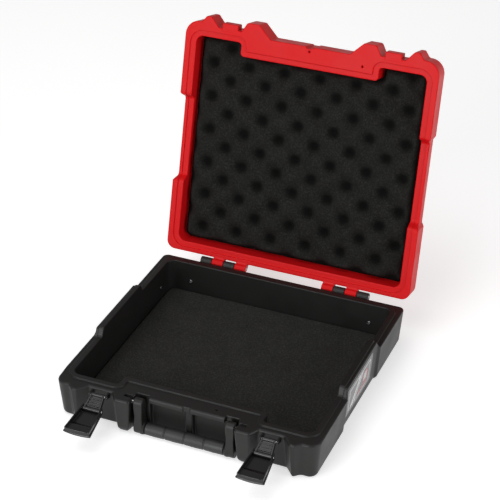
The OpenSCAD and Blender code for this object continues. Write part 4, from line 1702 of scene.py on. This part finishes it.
@dataclass
class Foams:
    """The egg-crate sheet in the lid and the flat pad in the base."""

    sizes: CaseSizes
    cavity: Outline
    gap: float = 0.8
    pad_t: float = 7.0
    pitch: float = 51.2
    row: float = 46.8
    lead: float = 13.0
    wave: float = 11.0
    sink: float = 15.0
    seat: float = 0.3
    cell: float = 2.0
    narrow: float = 1.9
    fall: float = 9.0
    skew: float = 0.0225
    shift: Point2 = (1.4, 0.6)
    seed: float = 7.0

    def sheet_solid(self, low: float, high: float, edge: float) -> Solid:
        """A foam block in the cavity's outline from low to high, with soft edges.

        Args:
            low: Lowest height of the block.
            high: Greatest height.
            edge: Radius of its edges.

        Returns:
            The solid.
        """

        def solid(x: Array, y: Array, z: Array) -> Array:
            """Signed distance of the block."""
            return meet(self.cavity.at(x, y) + self.gap, span(z, low, high), edge)

        return solid

    def block(self, name: str, low: float, high: float, edge: float, back: float) -> Mesh:
        """A foam block whose hidden face is a single polygon.

        Args:
            name: Name of the mesh.
            low: Lowest height in millimetres.
            high: Greatest height.
            edge: Radius of its edges.
            back: Height of the hidden face.

        Returns:
            The mesh.
        """
        s = self.sizes
        ys = ticks((s.y_centre + s.shelf_d - 18.5, s.y_rear - s.rear_wall + 1.5, self.cell))
        zs = ticks((low - 1.4, high + 1.6, 0.9))
        mesh = Mesher(both_ways((0, 165, self.cell)), ys, zs, flat_angle=0).mesh(
            name, self.sheet_solid(low, high, edge)
        )
        places = np.empty(len(mesh.vertices) * 3)
        mesh.vertices.foreach_get("co", places)
        x, y, _ = places.reshape(-1, 3).T / MM
        inner = smooth(-self.cavity.at(x, y), self.gap, self.fall)
        mesh.attributes.new("inner", "FLOAT", "POINT").data.foreach_set("value", inner)
        made = bmesh.new()
        made.from_mesh(mesh)
        hidden = [f for f in made.faces if all(abs(v.co.z - back * MM) < 0.02 * MM for v in f.verts)]
        bmesh.ops.dissolve_faces(made, faces=hidden)
        made.to_mesh(mesh)
        made.free()
        return mesh

    def crate_rule(self, t: Tree, start: bpy.types.Node) -> Socket:
        """Writes the tree that raises crests and hollows on the foam's open side and stores where shade is
        painted.

        Args:
            t: Writer of the tree.
            start: Input node of the tree.

        Returns:
            The foam.
        """
        place = t.add("GeometryNodeInputPosition").outputs[0]
        at = t.add("ShaderNodeSeparateXYZ", {0: place}).outputs
        waves = []
        across, along = ("X", "Y", -1, "Pitch", "First X"), ("Y", "X", 1, "Row", "First Y")
        for axis, other, way, pitch, first in (across, along):
            skewed = t.math("MULTIPLY_ADD", at[other], t.times(start.outputs["Skew"], way), at[axis])
            turn = t.math("DIVIDE", 2 * math.pi, start.outputs[pitch])
            waves.append(t.math("COSINE", t.times(t.math("ADD", skewed, start.outputs[first]), turn)))
        low = t.math("MULTIPLY_ADD", t.times(*waves), -0.5, 0.5)
        crest = t.minus(1.0, t.math("POWER", low, start.outputs["Narrowness"]))
        inner = t.add("GeometryNodeInputNamedAttribute", {"Name": "inner"}, data_type="FLOAT")
        hollow = t.minus(1.0, t.times(crest, inner.outputs["Attribute"]))
        rough = 0.0
        for scale, detail, height in ((260.0, 2.0, "Cells"), (60.0, 1.0, "Unevenness")):
            inputs = {"Vector": place, "W": start.outputs["Seed"], "Scale": scale, "Detail": detail}
            noise = t.add("ShaderNodeTexNoise", inputs, noise_dimensions="4D").outputs[0]
            rough = t.math("MULTIPLY_ADD", t.minus(noise, 0.5), start.outputs[height], rough)
        drop = t.math("MULTIPLY_ADD", hollow, start.outputs["Wave"], t.times(start.outputs["Wave"], -0.5))
        lift = t.math("ADD", rough, drop)
        share = t.add(
            "ShaderNodeMapRange",
            {"Value": at["Z"], "From Min": start.outputs["Back"], "From Max": start.outputs["Front"]},
        ).outputs["Result"]
        move = t.add("ShaderNodeCombineXYZ", {"Z": t.times(lift, share)}).outputs[0]
        # Painted shade: the stored "hollow" mark darkens the foam's colour in its hollows and where it falls
        # away at the walls.
        marks = {
            "Geometry": start.outputs["Geometry"], "Name": "hollow",
            "Value": t.times(hollow, start.outputs["Shade"]),
        }
        marked = t.add("GeometryNodeStoreNamedAttribute", marks, data_type="FLOAT", domain="POINT").outputs[0]
        moved = t.add("GeometryNodeSetPosition", {"Geometry": marked, "Offset": move}).outputs[0]
        return t.add("GeometryNodeSetShadeSmooth", {"Geometry": moved}).outputs[0]

    def crate(self, name: str, mesh: Mesh, front: float, back: float, wave: float,
              uneven: float, cells: float, material: Material) -> Mesh:
        """Runs the egg-crate tree with heights in millimetres and returns the result.

        Args:
            name: Name of the result.
            mesh: The plain block.
            front: Height of the open side.
            back: Height of the hidden face.
            wave: Height from hollows to crests, or 0 for a flat pad.
            uneven: Height of its broad unevenness.
            cells: Height of its fine unevenness.
            material: Finish of the foam.

        Returns:
            The foam as a plain mesh.
        """
        s = self.sizes
        across = s.width / 2 - s.side_wall + 1
        first_x = math.ceil(across / (self.pitch / 4)) * self.pitch / 4 - self.shift[0]
        first_y = self.lead + 1 - s.y_corner - s.front_wall - self.shift[1]
        inputs = {
            label: ("NodeSocketFloat", value * MM)
            for label, value in {
                "Pitch": self.pitch, "Row": self.row, "Wave": wave, "First X": first_x, "First Y": first_y,
                "Front": front, "Back": back, "Unevenness": uneven, "Cells": cells,
            }.items()
        }
        inputs["Skew"] = ("NodeSocketFloat", self.skew)
        inputs["Narrowness"] = ("NodeSocketFloat", self.narrow)
        # Painted shade in the hollows for the crated foam only; none on the flat pad.
        inputs["Shade"] = ("NodeSocketFloat", 1.0 if wave else 0.0)
        inputs["Seed"] = ("NodeSocketFloat", self.seed)
        return NodeWork(f"{name}_rule", inputs, self.crate_rule).run(mesh, name, material)

    def build(self, finishes: Finishes) -> None:
        """Adds both foams.

        Args:
            finishes: The case's finishes.
        """
        s = self.sizes
        back = s.lid_top - s.panel_t - self.seat
        front = s.base_h + s.part_gap + self.sink + self.wave / 2
        name = "lid_foam_crated"
        block = self.block(name, front, back, 2.2, back)
        crated = self.crate(name, block, front, back, self.wave, 1.3, 0.7, finishes.foam_lid)
        crated.transform(Matrix.Scale(MM, 4) @ s.opened() @ Matrix.Scale(1 / MM, 4))
        lid = add_piece(crated, name, Body.LID, Slot.FOAM, finishes.foam_lid, "lid_foam")
        name = "base_foam_pad"
        low, high = s.floor_t, s.floor_t + self.pad_t
        flat = self.block(name, low, high, 1.8, low)
        flat = self.crate(name, flat, high, low, 0.0, 0.5, 0.35, finishes.foam_base)
        pad = add_piece(flat, name, Body.BASE, Slot.FOAM, finishes.foam_base, "base_foam")


@dataclass
class Label:
    """A printed film on the waist of the right wall."""

    sizes: CaseSizes
    low: Point2 = (-48.0, 17.0)
    high: Point2 = (44.0, 60.0)
    corner: float = 2.5
    film: float = 0.3
    proud: float = 0.34

    def build(self, finishes: Finishes) -> None:
        """Adds the film.

        Args:
            finishes: The case's finishes.
        """
        s = self.sizes
        wall = s.width / 2 - s.waist_set
        made = bmesh.new()
        ring = []
        for k, (y, z) in enumerate(((1, 0), (1, 1), (0, 1), (0, 0))):
            cy = (self.high[0] - self.corner) if y else (self.low[0] + self.corner)
            cz = (self.high[1] - self.corner) if z else (self.low[1] + self.corner)
            for step in range(7):
                a = math.pi / 2 * (k - 1 + step / 6)
                rise, run = self.corner * math.sin(a), self.corner * math.cos(a)
                ring.append(made.verts.new((0, cy + run, cz + rise)))
        made.faces.new(ring)
        bmesh.ops.bisect_plane(
            made, geom=[*made.verts, *made.edges, *made.faces], plane_co=(0, 0, s.base_h), plane_no=(0, 0, 1)
        )
        for vert in made.verts:
            vert.co.x = wall - s.draft * (1 - min(1.0, vert.co.z / s.base_h)) + self.proud
        made.normal_update()
        bmesh.ops.solidify(made, geom=made.faces, thickness=self.film)
        bmesh.ops.recalc_face_normals(made, faces=made.faces)
        mesh = bpy.data.meshes.new("side_label_film")
        made.to_mesh(mesh)
        made.free()
        mesh.transform(Matrix.Scale(MM, 4))
        add_piece(mesh, "side_label_film", Body.BASE, Slot.LABEL, finishes.label, "side_label")


@dataclass
class WallScrews:
    """Four screws in the walls of the cavity."""

    sizes: CaseSizes
    across: float = 132.0
    back: float = 30.0
    level: float = 25.0
    r: float = 3.2
    height: float = 1.2

    def head_solid(self, x: Array, y: Array, z: Array) -> Array:
        """Signed distance of a domed head with a cross recess, facing up from the origin.

        Args:
            x: X of the places asked for.
            y: Y of the places asked for.
            z: Z of the places asked for.

        Returns:
            Signed distance, negative inside.
        """
        radial = np.hypot(x, y)
        dome = np.sqrt(radial**2 + (z + 5.2) ** 2) - 6.4
        head = meet(meet(radial - self.r, dome, 0.4), -0.4 - z, 0.1)
        ax, ay = np.abs(x), np.abs(y)
        arms = np.minimum(meet(ax - 0.42, ay - 1.7, 0.1), meet(ay - 0.42, ax - 1.7, 0.1))
        return cut(head, np.maximum(arms, 0.35 - z), 0.12)

    def rule(self, t: Tree, start: bpy.types.Node) -> Socket:
        """Writes the tree that seats the head on the rear and side walls.

        Args:
            t: Writer of the tree.
            start: Input node of the tree.

        Returns:
            The four heads.
        """
        seats = []
        for wall, turn in (("Rear seat", (math.pi / 2, 0, 0)), ("Side seat", (0, -math.pi / 2, 0))):
            seats.append(t.add(
                "GeometryNodeTransform",
                {"Geometry": start.outputs["Geometry"], "Translation": start.outputs[wall], "Rotation": turn},
            ).outputs[0])
        both = t.add("GeometryNodeJoinGeometry", {"Geometry": seats[0]})
        t.tree.links.new(seats[1], both.inputs[0])
        return both_sides(t, both.outputs[0])

    def build(self, finishes: Finishes) -> None:
        """Adds the four heads.

        Args:
            finishes: The case's finishes.
        """
        s = self.sizes
        around = both_ways((0, 4, 0.2))
        head = Mesher(around, around, ticks((-1.2, 2, 0.2)), flat_angle=0).mesh("screw_head", self.head_solid)
        rear, side = s.y_rear - s.rear_wall, s.width / 2 - s.side_wall
        inputs = {
            "Rear seat": ("NodeSocketVector", (self.across * MM, rear * MM, self.level * MM)),
            "Side seat": ("NodeSocketVector", (side * MM, (rear - self.back) * MM, self.level * MM)),
        }
        name = "wall_screw_heads"
        mesh = NodeWork("screw_seats", inputs, self.rule).run(head, name, finishes.screw)
        add_piece(mesh, name, Body.BASE, Slot.SCREW, finishes.screw, "wall_screws")


# ---------------------------------------------------------------- studio


@dataclass(frozen=True)
class Studio:
    """Camera, floor, world and lamps. Lengths are metres."""

    target: Colour = (0.02247, 0.0, 0.20197)
    azimuth: float = 22.828
    elevation: float = 31.826
    distance: float = 2.1396
    lens: float = 123.7
    floor_half: float = 6.0

    def camera(self) -> None:
        """Places the camera at the photograph's angle."""
        a, e = math.radians(self.azimuth), math.radians(self.elevation)
        back = Vector((math.sin(a) * math.cos(e), -math.cos(a) * math.cos(e), math.sin(e)))
        data = bpy.data.cameras.new("camera")
        data.lens, data.sensor_width = self.lens, 36.0
        data.clip_start, data.clip_end = 0.05, 50.0
        obj = bpy.data.objects.new("camera", data)
        bpy.context.scene.collection.objects.link(obj)
        obj.location = Vector(self.target) + back * self.distance
        obj.rotation_mode = "QUATERNION"
        obj.rotation_quaternion = (-back).to_track_quat("-Z", "Y")
        bpy.context.scene.camera = obj

    def lamp(self, name: str, place: tuple[float, float, float], size: float, power: float) -> None:
        """Adds a square soft lamp that looks at the case.

        Args:
            name: Name of the lamp.
            place: Where it stands.
            size: Length of its sides.
            power: Its power in watts.
        """
        data = bpy.data.lights.new(name, "AREA")
        data.size, data.energy = size, power
        obj = bpy.data.objects.new(name, data)
        bpy.context.scene.collection.objects.link(obj)
        obj.location = place
        obj.rotation_mode = "QUATERNION"
        obj.rotation_quaternion = (Vector((0, 0, 0.12)) - Vector(place)).to_track_quat("-Z", "Y")

    def floor(self) -> None:
        """Adds a pale floor that keeps the case's shadow."""
        mesh = bpy.data.meshes.new("floor")
        reach = self.floor_half
        corners = [(-reach, -reach, 0), (reach, -reach, 0), (reach, reach, 0), (-reach, reach, 0)]
        mesh.from_pydata(corners, [], [(0, 1, 2, 3)])
        obj = bpy.data.objects.new("floor", mesh)
        bpy.context.scene.collection.objects.link(obj)
        material = bpy.data.materials.new("floor_white")
        t = emptied(material)
        path = t.add("ShaderNodeLightPath")
        seen = t.math("MAXIMUM", path.outputs["Is Camera Ray"], path.outputs["Is Glossy Ray"])
        matt = t.add("ShaderNodeBsdfDiffuse", {"Color": (0.85, 0.85, 0.85, 1)})
        glow = t.add("ShaderNodeEmission", {"Color": (1, 1, 1, 1), "Strength": t.times(seen, 0.5)})
        both = t.add("ShaderNodeAddShader", {0: matt.outputs[0], 1: glow.outputs[0]})
        t.add("ShaderNodeOutputMaterial", {"Surface": both.outputs[0]})
        mesh.materials.append(material)

    def world(self) -> None:
        """A soft pale world that the camera sees as white."""
        world = bpy.data.worlds.new("studio")
        bpy.context.scene.world = world
        t = emptied(world)
        path = t.add("ShaderNodeLightPath")
        seen = t.math("MAXIMUM", path.outputs["Is Camera Ray"], path.outputs["Is Transmission Ray"])
        strength = t.math("MULTIPLY_ADD", seen, 0.7, 0.3)
        glow = t.add("ShaderNodeBackground", {"Color": (1, 1, 1, 1), "Strength": strength})
        t.add("ShaderNodeOutputWorld", {"Surface": glow.outputs[0]})

    def build(self) -> None:
        """Sets up the whole studio."""
        self.camera()
        self.floor()
        self.world()
        self.lamp("key_front", (-0.6, -2.4, 0.9), 1.6, 40.0)
        self.lamp("fill_right", (2.4, -0.4, 0.7), 1.4, 23.0)
        self.lamp("top_soft", (-0.6, -0.6, 2.4), 1.6, 14.0)
        bpy.context.scene.view_settings.view_transform = "Standard"


def main() -> None:
    """Builds the studio and every part of the case."""
    Studio().build()
    finishes = Finishes.build()
    sizes = CaseSizes()
    cavity = sizes.cavity_outline()
    BaseShell(sizes, sizes.base_outline(), cavity).build(finishes)
    LidShell(sizes, sizes.lid_outline(), cavity).build(finishes)
    Hinges(sizes).build(finishes)
    Handle(sizes).build(finishes)
    Latches(sizes).build(finishes)
    Foams(sizes, cavity).build(finishes)
    Label(sizes).build(finishes)
    WallScrews(sizes).build(finishes)


if __name__ == "__main__":
    main()
